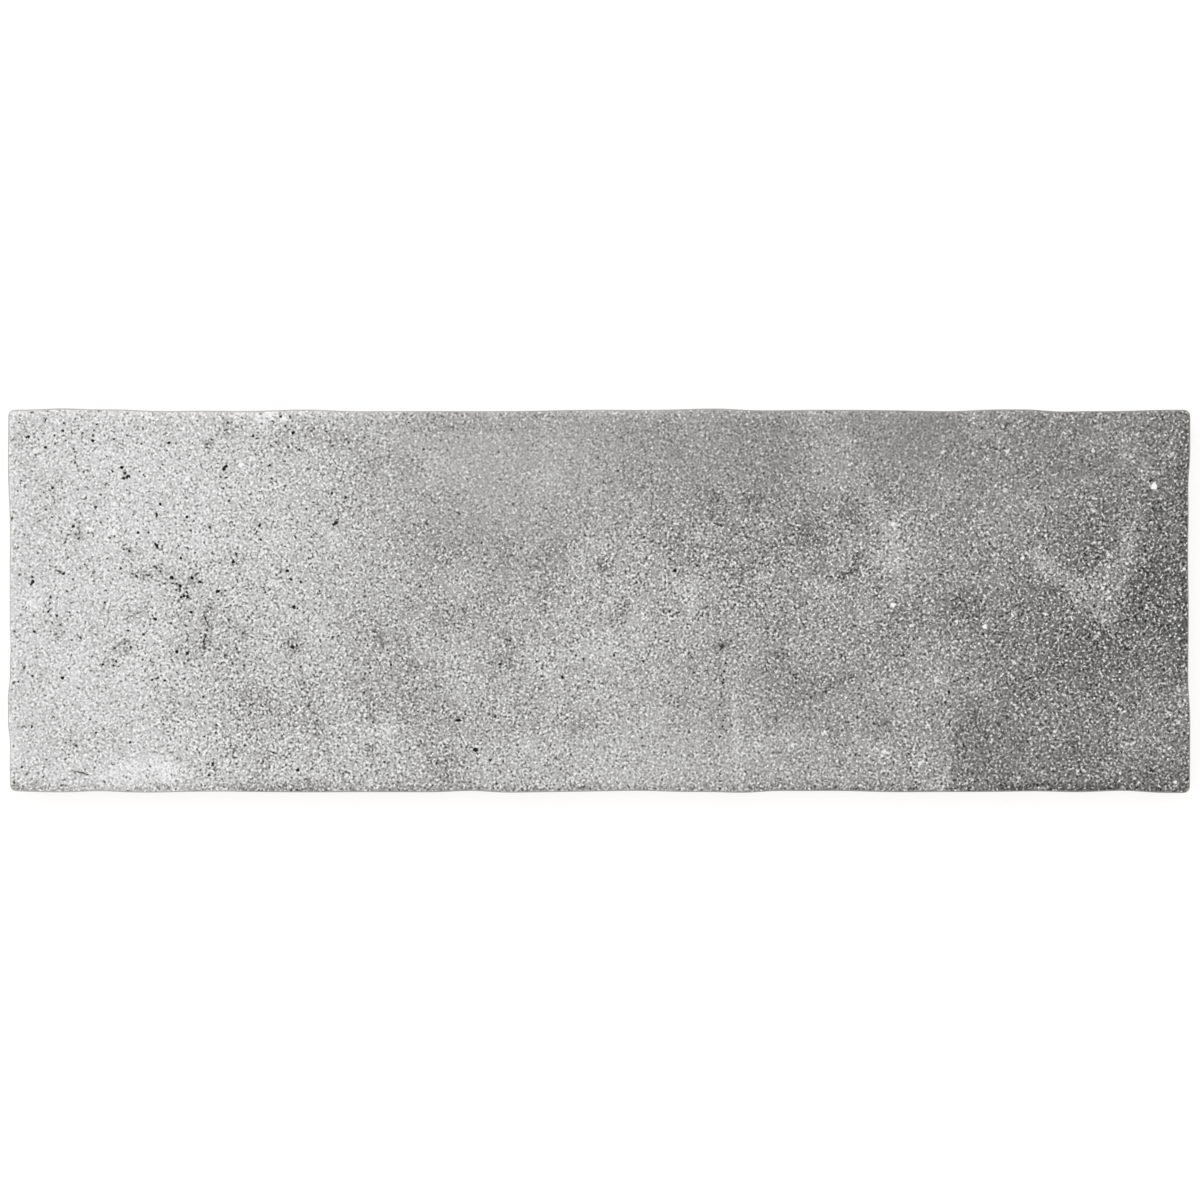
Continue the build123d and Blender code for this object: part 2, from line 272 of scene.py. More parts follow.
    (600, 440, 180, 26, 0, 1.6, 2), (1067, 446, 60, 26, 0, 1.5, 2), (1105, 630, 80, 40, 0, -1.6, 2),
    (40, 742, 50, 40, 0, -1.8, 2), (110, 572, 60, 30, 0, -1.2, 2), (989, 758, 30, 26, 0, -1.5, 2),
    (600, 500, 60, 40, 0, -5, 2), (600, 690, 60, 40, 0, 4, 2), (835, 510, 50, 40, 0, -4, 2),
    (985, 635, 50, 30, 0, -7, 2), (990, 500, 50, 40, 0, 2, 2), (1070, 440, 60, 35, 0, 5, 2),
    (362, 760, 45, 28, 0, 5, 2), (365, 632, 40, 30, 0, -7, 2), (911, 632, 35, 30, 0, -3, 2),
    (448, 573, 40, 30, 0, -5, 2), (480, 500, 90, 42, 0, -4, 2), (650, 480, 130, 38, 0, 0, 2),
    (760, 505, 90, 40, 0, 0, 2), (520, 446, 60, 24, 0, -3, 2), (685, 440, 60, 24, 0, -2, 2),
    (911, 440, 30, 24, 0, 0, 2), (1110, 440, 70, 24, 0, -1, 2), (1067, 506, 35, 25, 0, 4, 2),
    (755, 572, 40, 25, 0, -3, 2), (911, 572, 32, 25, 0, 3, 2), (248, 694, 60, 28, 0, -6, 2),
    (1067, 762, 40, 24, 0, -3, 2), (53, 572, 35, 25, 0, 0, 2), (53, 758, 40, 25, 0, 1, 2),
]  # fmt: skip

# One-sided fades: a line with a clean side, how far the fade reaches to its left, how clean, how much
FADES = [
    ([(950, 792), (951, 715)], -60, 3, -6),
    ([(862, 408), (866, 480)], -60, 4, -5),
    ([(702, 408), (704, 600)], -60, 4, -6),
    ([(326, 690), (326, 794)], 50, 3, -7),
    ([(176, 794), (177, 752)], 30, 3, 4),
]  # fmt: skip

# Light caught by the far and left edges, and the thin shade along the near one: line, width, how much
EDGE_TONES = [
    ([(10, 410), (1190, 410)], 5.5, 15),
    ([(11, 410), (11, 790)], 4.0, 8),
    ([(10, 789), (1190, 789)], 4.0, -15),
    ([(10, 789), (400, 789)], 8.0, -5),
]  # fmt: skip

# Grain contrast, as clouds over an even 1
GRAIN_CLOUDS = [
    (520, 445, 120, 50, 0, -0.25, 2), (640, 420, 140, 30, 0, -0.05, 2), (912, 414, 60, 34, 0, -0.26, 2),
    (830, 430, 340, 85, 0, -0.28, 2), (500, 490, 110, 50, 0, -0.12, 2), (1000, 745, 120, 60, 0, -0.10, 2),
    (700, 565, 70, 40, 0, 0.24, 2), (720, 605, 130, 45, 0, 0.08, 2), (790, 740, 120, 60, 0, -0.10, 2),
    (1110, 590, 90, 80, 0, 0.12, 2), (860, 540, 60, 40, 0, 0.10, 2), (190, 590, 60, 50, 0, 0.18, 2),
    (250, 600, 130, 400, 0, 0.20, 2), (290, 745, 270, 80, 0, 0.14, 2), (90, 440, 90, 60, 0, 0.12, 2),
    (443, 452, 45, 35, 0, -0.10, 2), (485, 508, 65, 30, 0, -0.10, 2), (716, 446, 65, 32, 0, -0.12, 2),
    (911, 455, 45, 50, 0, -0.13, 2), (1090, 462, 90, 45, 0, -0.11, 2), (521, 572, 36, 26, 0, -0.10, 2),
    (600, 605, 45, 50, 0, 0.14, 2), (520, 668, 45, 60, 0, 0.10, 2), (250, 730, 75, 55, 0, 0.11, 2),
    (521, 758, 45, 28, 0, 0.10, 2), (911, 758, 40, 30, 0, 0.18, 2), (1125, 575, 75, 35, 0, 0.10, 2),
    (833, 570, 50, 30, 0, 0.08, 2), (90, 632, 80, 32, 0, 0.07, 2), (690, 730, 55, 55, 0, -0.09, 2),
    (505, 526, 90, 32, 0, -0.12, 2), (385, 440, 55, 40, 0, -0.08, 2), (640, 752, 60, 36, 0, -0.07, 2),
    (1080, 700, 90, 80, 0, 0.06, 2),
]  # fmt: skip

# Where the grain gathers into coarser crumbs
CRUMBS = [(258, 748, 52, 40, 0, 13, 2), (551, 600, 52, 38, 0, 7, 2), (300, 532, 60, 32, 0, 5, 2)]

warp_a, warp_b, mottle = Noise(11), Noise(12), Noise(13)


def cloud_sum(clouds, px, py):
    total = np.zeros(px.shape)
    for cx, cy, rx, ry, turn, amount, hard in clouds:
        c, s = math.cos(math.radians(turn)), math.sin(math.radians(turn))
        u = ((px - cx) * c - (py - cy) * s) / rx
        v = ((px - cx) * s + (py - cy) * c) / ry
        total += amount * np.exp(-((u * u + v * v) ** (hard / 2.0)))
    return total


def patch_sum(patches, px, py):
    total = np.zeros(px.shape)
    for amount, soft, ring in patches:
        (x0, y0), (x1, y1) = np.min(ring, 0) - soft, np.max(ring, 0) + soft
        near = (px > x0) & (px < x1) & (py > y0) & (py < y1)
        dist, _, _ = along(ring + ring[:1], px[near], py[near])
        dist = np.where(within(np.array(ring, float), px[near], py[near]), dist, -dist)
        total[near] += amount * smooth(-soft, soft, dist)
    return total


def face_tone(x, y):
    """Tone of the face, 0 to 255 as seen, at places in millimetres."""
    px, py = to_px(x, y)
    wx = px + 4.5 * warp_a.rough(px / 22.0, py / 22.0, 3, 0.6)
    wy = py + 4.5 * warp_b.rough(px / 22.0, py / 22.0, 3, 0.6)
    tone = np.interp(wx, *zip(*FADE)) + 1.5 * cloud_sum(CLOUDS, wx, wy) + 1.2 * patch_sum(PATCHES, wx, wy)
    for points, reach, clean, amount in FADES:
        dist, side, where = along(points, wx, py)
        dist = dist * side * np.sign(reach)
        ends = smooth(0.0, 0.15, where) * smooth(1.0, 0.75, where)
        tone += amount * ends * smooth(0.0, clean, dist) * np.exp(-np.abs(dist / reach))
    for points, width, amount in EDGE_TONES:
        tone += amount * np.exp(-((along(points, wx, wy)[0] / width) ** 2))
    tone += 7.0 * mottle.rough(px / 30.0, py / 30.0, 3, 0.6)
    tone += 10.0 * np.clip(1.1 - face_grain(x, y), 0.0, 0.5) * mottle.rough(px / 10.0, py / 10.0, 2, 0.6)
    tone += cloud_sum(CRUMBS, px, py) * mottle.rough(px / 8.5 + 40.0, py / 8.5, 2, 0.6)
    return np.clip(tone, 30.0, 246.0)


def face_grain(x, y):
    """How strong the grain is on the face, about 1, at places in millimetres."""
    px, py = to_px(x, y)
    return np.clip(1.0 + cloud_sum(GRAIN_CLOUDS, px, py), 0.5, 1.6)


# ==== end of tones ======================================================

# ==== pits, specks and cracks ===========================================
# Round pinholes, in pixels of the photograph: middle, radius, darkness, which is painted shade in the hole
PINHOLES = [
    # far corner and far edge of the light end
    (45.7, 447.3, 1.6, 0.9), (63.0, 430.7, 1.5, 0.75), (64.2, 423.2, 1.3, 0.65), (72.2, 432.7, 1.3, 0.5),
    (92.9, 440.7, 1.5, 1.1), (94.3, 430.7, 1.3, 0.55), (114.1, 438.9, 1.3, 0.75), (127.4, 435.5, 1.3, 0.75),
    (75.4, 462.8, 1.3, 0.6), (71.6, 461.4, 1.1, 0.45), (83.9, 472.0, 1.4, 0.5), (88.3, 470.0, 1.1, 0.35),
    (77.5, 469.2, 1.1, 0.35), (75.2, 452.0, 1.3, 0.5), (52.6, 488.1, 1.4, 0.6), (62.4, 482.1, 1.2, 0.75),
    (21.3, 480.6, 1.3, 0.45), (21.3, 463.8, 1.2, 0.25), (87.3, 487.5, 1.3, 0.5), (77.9, 489.5, 1.4, 0.55),
    (18.3, 491.1, 1.2, 0.55), (82.1, 417.0, 1.2, 0.3), (87.7, 412.0, 1.2, 0.4), (55.2, 443.7, 1.4, 0.6),
    (54.8, 435.3, 1.2, 0.35), (66.4, 440.5, 1.2, 0.35), (122.6, 443.8, 1.2, 0.35), (113.0, 471.6, 1.3, 0.75),
    (43.7, 492.5, 1.2, 0.25), (122.0, 467.6, 1.7, 1.15), (125.0, 473.3, 1.6, 0.75), (123.8, 478.2, 1.6, 0.9),
    (128.2, 477.0, 2.1, 1.15), (106.4, 484.2, 1.3, 0.55), (100.6, 495.0, 1.4, 0.4), (141.8, 444.0, 1.4, 0.65),
    (169.0, 442.9, 1.6, 1.1), (207.6, 444.5, 1.4, 0.85), (226.2, 466.2, 1.7, 1.1), (224.2, 468.9, 1.8, 1.1),
    (220.4, 477.0, 1.2, 0.55), (226.3, 477.5, 1.2, 0.7), (229.5, 500.9, 1.4, 0.75), (269.8, 465.5, 1.4, 0.8),
    (253.3, 435.9, 1.5, 0.9), (256.8, 438.3, 1.2, 0.55), (276.2, 442.6, 1.4, 0.65), (270.5, 445.5, 1.2, 0.6),
    (298.9, 449.0, 1.4, 0.6), (312.0, 431.0, 1.3, 0.25), (326.3, 432.1, 1.3, 0.45), (227.7, 422.6, 1.4, 0.5),
    (261.6, 413.6, 1.2, 0.65), (266.7, 418.3, 1.2, 0.6), (274.5, 422.3, 1.3, 0.3), (270.5, 425.4, 1.3, 0.1),
    (285.5, 425.7, 1.3, 0.45), (348.7, 442.4, 1.4, 0.45), (345.2, 497.4, 1.6, 1.1), (332.5, 492.9, 1.4, 0.75),
    # across the middle of the light end
    (12.6, 518.9, 1.5, 0.55), (73.6, 526.5, 1.6, 0.9), (65.3, 542.3, 1.6, 0.45), (79.1, 538.8, 1.5, 0.25),
    (75.7, 519.8, 1.3, 0.5), (79.1, 522.7, 1.1, 0.3), (78.7, 527.7, 1.1, 0.25), (62.0, 531.9, 1.3, 0.4),
    (65.4, 550.1, 1.1, 0.4), (88.5, 532.7, 1.2, 0.45), (95.9, 507.7, 1.8, 0.75), (100.7, 522.7, 1.3, 0.55),
    (107.8, 518.7, 1.2, 0.4), (110.2, 537.9, 1.4, 0.35), (114.6, 536.3, 1.2, 0.5), (107.4, 558.0, 1.4, 0.55),
    (68.5, 557.6, 1.3, 0.4), (94.1, 572.5, 1.5, 0.7), (91.5, 576.1, 1.2, 0.6), (19.7, 574.8, 1.6, 0.4),
    (24.9, 572.5, 1.2, 0.45), (15.4, 576.1, 1.2, 0.7), (32.8, 581.9, 2.0, 1.15), (32.4, 577.2, 1.3, 0.7),
    (31.4, 584.2, 1.3, 0.65), (63.8, 573.9, 1.5, 0.75), (73.2, 579.6, 1.2, 0.35), (50.8, 597.3, 1.5, 0.6),
    (57.4, 597.7, 1.3, 0.35), (66.8, 591.1, 1.3, 0.35), (71.2, 602.6, 1.3, 0.45), (57.2, 615.8, 1.5, 0.65),
    (26.5, 607.6, 1.2, 0.65), (20.9, 615.0, 1.3, 0.25), (18.4, 547.6, 1.3, 0.55), (14.6, 549.4, 1.2, 0.45),
    (22.1, 526.5, 1.3, 0.6), (46.1, 509.4, 1.3, 0.45), (52.2, 517.3, 1.2, 0.45), (120.6, 568.2, 1.2, 0.15),
    (129.4, 551.0, 1.5, 0.6), (124.2, 549.8, 1.2, 0.55), (126.2, 530.7, 1.2, 0.35), (134.3, 513.3, 1.3, 0.6),
    (160.3, 504.3, 1.5, 0.9), (186.9, 516.9, 1.6, 1.1), (210.0, 527.7, 1.5, 0.75), (190.9, 530.6, 1.3, 0.65),
    (148.6, 532.5, 1.3, 0.6), (138.3, 532.8, 1.4, 1.1), (110.4, 540.6, 1.2, 0.15), (236.3, 554.0, 1.6, 0.65),
    (233.5, 561.6, 1.6, 1.05), (181.0, 558.0, 1.4, 0.75), (187.7, 547.6, 1.3, 0.8), (261.0, 539.6, 1.3, 0.9),
    (306.5, 509.0, 1.2, 0.45), (171.9, 577.8, 1.9, 1.15), (172.5, 583.4, 1.2, 0.8), (180.0, 585.8, 1.7, 0.9),
    (180.4, 589.7, 1.2, 0.45), (181.0, 597.2, 1.4, 0.85), (184.4, 596.2, 1.4, 0.9), (187.7, 596.4, 1.5, 0.95),
    (187.3, 592.5, 1.3, 0.85), (192.4, 577.8, 1.7, 1.15), (196.0, 575.6, 1.4, 0.25), (221.6, 593.0, 1.1, 0.3),
    (287.5, 570.7, 1.6, 0.95), (300.9, 582.1, 1.3, 0.55), (281.0, 572.0, 1.3, 0.3), (209.8, 607.3, 1.4, 0.3),
    (191.3, 612.2, 1.5, 1.05), (155.6, 618.9, 1.8, 1.05), (160.3, 585.4, 1.3, 0.65), (156.2, 568.0, 1.4, 0.6),
    (160.9, 571.4, 1.3, 0.5), (161.9, 564.3, 1.2, 0.6), (136.2, 576.0, 1.5, 0.4), (270.0, 589.2, 1.2, 0.4),
    (246.9, 588.8, 1.2, 0.4), (294.2, 606.9, 1.9, 1.05), (292.6, 647.2, 2.0, 0.65), (296.8, 645.6, 1.4, 0.5),
    (289.4, 642.8, 1.4, 0.2), (266.7, 636.6, 1.3, 0.4), (225.6, 655.1, 1.4, 0.55), (207.1, 630.3, 1.3, 0.4),
    (185.7, 625.4, 1.3, 0.2), (187.7, 653.1, 1.7, 0.65), (177.2, 651.7, 1.6, 1.05), (143.6, 634.8, 1.5, 0.85),
    (336.0, 522.6, 2.1, 0.7), (333.4, 524.8, 1.2, 0.8),
    # near corner and near edge of the light end
    (34.6, 631.5, 1.5, 0.7), (14.5, 631.9, 1.4, 0.5), (60.2, 625.0, 1.5, 0.4), (56.3, 634.0, 1.3, 0.45),
    (72.0, 640.1, 1.3, 0.6), (96.0, 634.0, 1.4, 0.3), (128.3, 630.8, 1.3, 0.6), (131.0, 647.1, 1.4, 0.6),
    (114.7, 648.2, 1.4, 0.5), (125.0, 643.4, 1.2, 0.55), (116.6, 661.3, 1.4, 0.45), (103.2, 664.6, 1.4, 0.9),
    (113.8, 665.8, 1.2, 0.45), (92.1, 656.3, 1.3, 0.4), (32.7, 676.0, 1.5, 0.55), (62.7, 677.8, 1.7, 1.05),
    (13.4, 683.1, 1.4, 0.8), (18.4, 681.7, 1.2, 0.55), (53.8, 717.1, 1.4, 0.65), (24.0, 726.8, 1.4, 0.9),
    (32.3, 727.1, 1.4, 0.6), (96.5, 732.7, 1.4, 0.7), (126.9, 724.4, 1.3, 0.5), (130.4, 742.3, 1.4, 0.65),
    (155.7, 699.5, 1.3, 0.3), (106.0, 688.1, 1.2, 0.45), (157.9, 678.0, 1.4, 0.4), (152.3, 679.7, 1.4, 0.65),
    (143.6, 680.3, 1.3, 0.55), (145.1, 670.8, 1.2, 0.7), (76.4, 745.6, 1.5, 0.65), (70.8, 740.5, 1.2, 0.5),
    (46.9, 759.5, 1.3, 0.55), (22.3, 766.8, 1.4, 0.65), (27.3, 774.0, 1.3, 0.5), (112.7, 764.0, 1.4, 0.55),
    (104.9, 781.8, 1.3, 0.45), (43.5, 777.1, 1.2, 0.5), (14.6, 782.4, 1.5, 0.55), (157.9, 786.6, 1.4, 0.6),
    (170.2, 786.6, 1.4, 1), (164.0, 785.0, 1.2, 0.4), (177.4, 758.2, 1.3, 0.4), (213.0, 764.0, 1.9, 1.15),
    (209.0, 775.0, 1.5, 0.75), (298.0, 770.0, 1.7, 0.95), (306.0, 780.0, 1.7, 0.55),
    # the middle and the dark end
    (510.1, 640.8, 1.5, 0.5), (490.4, 760.0, 1.5, 0.65), (465.0, 760.8, 1.4, 0.15), (391.0, 665.0, 1.4, 0.6),
    (500.2, 663.7, 1.6, 0.85), (583.3, 659.4, 1.5, 0.55), (614.0, 655.3, 1.4, 0.8), (675.0, 570.6, 1.7, 1),
    (697.0, 566.0, 1.4, 0.7), (644.0, 537.0, 1.4, 0.7), (722.0, 646.4, 2.1, 0.45), (778.6, 656.8, 1.7, 0.3),
    (968.0, 678.0, 1.6, 0.55), (949.0, 692.0, 1.6, 0.75), (826.0, 692.0, 1.5, 0.35), (810.0, 718.0, 1.5, 0.25),
    (495.3, 716.6, 1.4, 0.45), (669.5, 611.5, 1.4, 0.5), (741.0, 574.6, 1.5, 0.25), (885.0, 724.0, 1.7, 0.15),
    # a row of them down a hairline
    (725.8, 663.0, 1.4, 0.55), (724.1, 671.5, 1.2, 0.95), (723.6, 679.5, 1.0, 0.75), (722.8, 683.0, 1.2, 0.9),
    (721.3, 696.6, 1.2, 0.35), (719.6, 705.0, 1.1, 0.65), (725.0, 715.0, 1.0, 0.6), (723.6, 720.3, 1.0, 0.6),
    (722.5, 726.5, 1.2, 0.65), (719.8, 736.5, 1.2, 0.9),
]  # fmt: skip

# Longer pits: middle, half sizes, turn, darkness, which is painted shade in the pit
SLOTS = [
    (28.2, 437.1, 2.2, 1.3, 22, 1.05), (46.1, 419.0, 2.6, 0.9, 84, 0.75), (88.7, 417.8, 1.9, 1.0, -30, 0.25),
    (97.5, 424.1, 2.0, 1.0, 38, 0.75), (32.5, 412.8, 2.2, 1.0, -45, 0.55), (106.2, 484.5, 1.9, 1.0, 50, 0.6),
    (12.9, 438.5, 2.2, 0.9, 60, 0.45), (112.0, 470.5, 2.3, 0.9, -38, 0.35), (79.5, 532.7, 2.5, 0.9, 65, 0.45),
    (93.2, 534.3, 3.0, 0.9, -72, 0.4), (93.9, 580.8, 2.0, 0.9, 35, 0.3), (48.8, 611.2, 2.1, 1.2, 55, 1.15),
    (59.6, 571.8, 4.4, 1.8, -24, 0.36), (156.9, 514.9, 2.2, 1.5, 90, 0.85), (259.8, 525.3, 2.3, 1.3, 90, 0.9),
    (156.9, 545.4, 3.0, 1.5, -50, 1.05), (200.2, 581.8, 1.9, 1.2, -40, 0.75), (217.9, 591.5, 2.3, 1.6, 10, 1.1),
    (291.1, 579.4, 1.8, 1.2, -40, 0.75), (148.4, 575.2, 4.2, 1.0, -10, 0.45), (244.0, 633.0, 2.5, 1.5, 60, 0.4),
    (218.0, 649.2, 3.0, 1.1, 0, 0.45), (292.9, 433.0, 2.1, 1.3, 60, 1.1), (80.9, 637.9, 2.0, 1.1, -55, 0.75),
    (24.6, 667.8, 2.0, 1.2, 40, 1.05), (280.8, 416.8, 1.8, 1.0, -40, 0.9), (458.5, 720.2, 3.0, 1.3, 0, 1.15),
    (475.6, 749.8, 2.9, 2.1, 0, 0.75), (562.2, 677.2, 1.9, 1.3, 90, 0.7), (643.0, 661.0, 1.6, 1.0, -40, 0.65),
    (718.6, 755.0, 2.4, 0.9, 80, 0.2), (720.0, 774.0, 2.0, 0.9, 90, 0.25), (430.0, 757.6, 2.6, 1.5, 60, 0.2),
    (599.6, 564.6, 3.0, 1.6, -28, 0.2), (624.6, 606.0, 2.6, 1.4, 62, 0.2), (15.8, 785.4, 1.8, 1.2, -60, 0.2),
    (1150.6, 481.0, 2.4, 1.0, 35, 0.6),
]  # fmt: skip

# Pale grains in the face: middle, half sizes, turn, lightness
GRAINS = [
    (1153.7, 486.3, 3.0, 3.3, 0, 1.9), (984.6, 626.6, 2.4, 2.2, 0, 2), (956.6, 621.6, 1.7, 2.0, 0, 1.5),
    (893.0, 605.0, 2.4, 2.2, 0, 2), (893.0, 524.0, 2.5, 2.2, 0, 0.9), (1134.0, 672.0, 2.2, 2.0, 0, 0.25),
    (1014.0, 663.0, 2.0, 1.7, 0, 0.75), (1034.0, 669.0, 2.0, 1.7, 0, 0.35), (1037.0, 723.0, 2.0, 1.8, 0, 0.35),
    (1017.0, 708.0, 1.8, 1.6, 0, 0.95), (1019.0, 778.0, 2.0, 1.8, 0, 0.65), (1044.0, 788.0, 1.8, 1.6, 0, 0.55),
    (1134.0, 778.0, 2.0, 1.7, 0, 0.85), (1157.0, 779.0, 2.0, 1.8, 0, 0.3), (1175.0, 782.0, 2.0, 1.7, 0, 1.25),
    (1178.0, 722.0, 2.0, 1.8, 0, 0.75), (1175.0, 618.0, 1.9, 1.7, 0, 1.35), (1147.0, 608.0, 1.9, 1.7, 0, 0.8),
    (1005.2, 490.3, 2.4, 2.4, 0, 0.75), (1094.3, 510.3, 2.2, 2.2, 0, 0.55), (1006.6, 451.2, 2.6, 1.8, -30, 0.8),
    (1160.5, 497.5, 3.2, 2.2, 30, 0.5), (904.3, 512.8, 1.9, 1.7, 0, 0.85), (1092.5, 543.0, 3.0, 1.0, 45, 0.8),
    (936.0, 680.0, 2.6, 2.0, -15, 0.7), (885.0, 752.0, 2.6, 2.2, 0, 0.95), (920.0, 763.0, 2.2, 1.8, 0, 0.55),
    (1172.5, 454.0, 2.2, 2.6, 0, 0.55), (1124.0, 455.0, 2.4, 2.4, 0, 0.25), (1058.5, 490.5, 3.0, 2.0, -35, 0.25),
    (241.1, 464.7, 3.3, 2.0, 0, 1), (187.4, 479.1, 2.4, 2.3, 0, 1), (114.4, 531.2, 2.2, 2.8, 0, 0.75),
    (137.5, 535.7, 2.0, 1.9, 0, 0.7), (113.8, 504.0, 3.1, 1.5, 25, 0.95), (114.3, 518.0, 2.0, 1.9, 0, 0.65),
    (170.2, 516.5, 2.0, 1.2, 0, 0.6), (89.5, 528.7, 4.0, 1.3, -20, 0.8), (91.1, 575.7, 1.9, 1.8, 0, 0.25),
    (39.3, 543.0, 1.5, 1.4, 0, 0.75), (66.2, 574.6, 1.2, 1.1, 0, 0.5), (108.6, 540.0, 1.8, 1.4, 0, 0.8),
    (128.6, 739.6, 1.8, 1.5, 0, 0.85),
    (270.8, 415.2, 2.6, 2.2, 20, 0.95), (283.6, 418.4, 3.1, 2.9, 0, 1),
    (264.4, 421.4, 1.9, 1.6, 0, 0.6), (272.8, 418.9, 1.6, 1.4, 0, 0.75), (275.0, 412.6, 2.2, 1.4, 0, 0.9),
    (268.4, 411.8, 1.6, 1.3, 0, 0.45),
    (724.0, 429.0, 1.9, 1.7, 0, 0.25), (617.0, 413.0, 2.4, 1.7, 0, 0.35),
    (467.0, 472.0, 1.8, 1.7, 0, 0.6), (410.0, 756.0, 2.0, 1.7, 0, 0.25),
]  # fmt: skip

# Hairline scratches and cracks: their line, half width in pixels, depth in millimetres, darkness, which is painted
# shade in the crack
CRACKS = [
    ([(203.8, 614.9), (206.0, 619.0), (207.8, 624.3)], 1.0, 0.08, 0.5),
    ([(206.5, 635.0), (203.8, 641.7), (205.1, 647.7)], 1.0, 0.08, 0.45),
    ([(857.0, 554), (855.5, 563), (850.0, 572), (838.0, 577), (821.0, 576)], 1.0, 0.05, 0.2),
    ([(126.8, 618.9), (133.5, 614.9), (145.5, 610.2)], 1.1, 0.05, 0.28),
    ([(116.4, 647.0), (120.0, 642.4), (125.6, 641.6), (129.6, 645.0)], 0.9, 0.04, 0.15),
    ([(118.0, 655.6), (124.0, 655.8), (130.0, 652.4)], 0.9, 0.04, 0.15),
    ([(23.7, 533.5), (26.6, 536.8), (29.7, 539.9)], 0.9, 0.05, 0.4),
    ([(75.3, 771.8), (82.0, 772.4), (88.1, 774.6)], 1.0, 0.07, 0.65),
    ([(151.6, 679.6), (155.0, 678.8), (158.3, 678.2)], 0.9, 0.05, 0.45),
    ([(375.0, 629.0), (379.0, 638.0), (383.0, 648.0)], 1.1, 0.05, 0.2),
    ([(1060.0, 560), (1078.0, 570), (1086.0, 574)], 1.0, 0.05, 0.15),
]  # fmt: skip


def scattered(seed, count, weight, small, large):
    """Seeded places on the face in pixels, thicker where weight is high, with half sizes and a turn each."""
    rng = np.random.default_rng(seed)
    found = []
    while len(found) < count:
        px, py = rng.uniform(13.0, 1186.0), rng.uniform(414.0, 788.0)
        size = small + (large - small) * rng.random() ** 2
        if rng.random() < weight(px, py):
            found.append((px, py, size * rng.uniform(0.9, 1.3), size, rng.uniform(0, 180)))
    return found


def pinhole_weight(px, py):
    return 0.10 + 0.90 * float(smooth(460.0, 160.0, px)) * (0.55 if py > 690 else 1.0) * (0.5 if px < 110 else 1.0)


def grain_weight(px, py):
    return 0.03 + 0.97 * float(smooth(640.0, 1150.0, px))


spot_rng = np.random.default_rng(23)
PITS = [(px, py, r * 1.05, r * 0.96, 30.0 * k, dark) for k, (px, py, r, dark) in enumerate(PINHOLES)]
PITS += SLOTS
PITS += [
    (*hole, (0.2 + 0.4 * spot_rng.random()) * float(smooth(900.0, 250.0, hole[0])) + 0.05)
    for hole in scattered(21, 240, pinhole_weight, 0.8, 1.3)
]
GRAINS += [
    (*grain, 0.2 + 0.95 * spot_rng.random() ** 2) for grain in scattered(22, 340, grain_weight, 0.9, 1.8)
]

# ==== outline and section, as in the part ===============================
THICKNESS = 8.3
CORNER_RADIUS = 1.1
ARRIS_RADIUS = 0.8
SIDE_TAPER_RISE, SIDE_TAPER_IN = 3.2, 0.45
HALF_L, HALF_W = 100.0, 32.4
KEY_DEPTH, KEY_LENGTH, KEY_WIDTH, KEY_FLOOR_RADIUS = 0.7, 43.0, 6.0, 0.3
KEY_PITCH_X, KEY_PITCH_Y, KEY_COLUMNS, KEY_ROWS = 47.0, 9.0, 4, 6

FAR_WAVE = [
    (-94.5, 0.09), (-91.5, 0.22), (-86.4, 0.07), (-80.9, 0.02), (-76.2, -0.20),
    (-67.7, -0.18), (-59.2, -0.22), (-53.3, -0.05), (-49.1, 0.01), (-43.1, -0.22),
    (-37.2, -0.26), (-28.7, -0.25), (-20.2, -0.25), (-12.6, -0.22), (-5.0, -0.06),
    (3.5, -0.03), (11.2, 0.00), (17.1, 0.16), (20.8, 0.17), (24.9, -0.03),
    (34.1, -0.05), (44.2, -0.04), (51.9, -0.13), (57.8, -0.24), (60.7, -0.23),
    (65.4, -0.01), (70.0, 0.05), (74.1, -0.03), (77.3, -0.27), (82.4, -0.25),
    (88.3, -0.23), (93.4, -0.08),
]  # fmt: skip
NEAR_WAVE = [
    (-94.5, 0.07), (-91.5, 0.12), (-88.9, 0.07), (-85.0, -0.08), (-80.9, 0.07),
    (-76.5, 0.16), (-70.3, 0.05), (-64.7, -0.01), (-53.8, 0.10), (-42.3, 0.10),
    (-32.1, 0.10), (-27.0, 0.07), (-23.6, -0.08), (-20.6, -0.10), (-17.7, 0.09),
    (-11.7, 0.13), (-5.0, 0.04), (1.0, -0.06), (8.6, -0.11), (14.0, 0.05),
    (19.6, 0.09), (24.9, 0.18), (29.0, -0.06), (34.1, -0.10), (41.7, -0.10),
    (48.5, 0.07), (57.8, 0.07), (65.4, 0.05), (69.7, 0.00), (75.6, -0.03),
    (81.5, 0.09), (85.8, -0.06), (90.0, -0.11), (93.4, 0.12),
]  # fmt: skip
LEFT_WAVE = [
    (-27.0, -0.04), (-23.3, 0.02), (-21.3, 0.26), (-18.5, 0.29), (-15.7, 0.27),
    (-14.0, 0.05), (-11.4, -0.03), (-7.9, -0.13), (-5.0, -0.05), (0.1, -0.02),
    (6.9, -0.02), (12.8, -0.04), (17.1, 0.12), (20.5, 0.26), (27.2, 0.28),
]  # fmt: skip
RIGHT_WAVE = [
    (-27.9, 0.23), (-22.8, 0.26), (-18.2, 0.19), (-15.5, 0.02), (-12.6, -0.07),
    (-10.1, -0.05), (-6.7, -0.02), (-1.2, 0.01), (4.4, -0.06), (11.1, -0.06),
    (15.4, 0.00), (20.8, 0.00), (23.2, 0.19), (25.9, 0.27),
]  # fmt: skip
FAR_LEFT = (-HALF_L - 0.24, HALF_W)
FAR_RIGHT = (HALF_L + 0.27, HALF_W - 0.01)
NEAR_RIGHT = (HALF_L + 0.21, -HALF_W - 0.22)
NEAR_LEFT = (-HALF_L + 0.07, -HALF_W + 0.10)


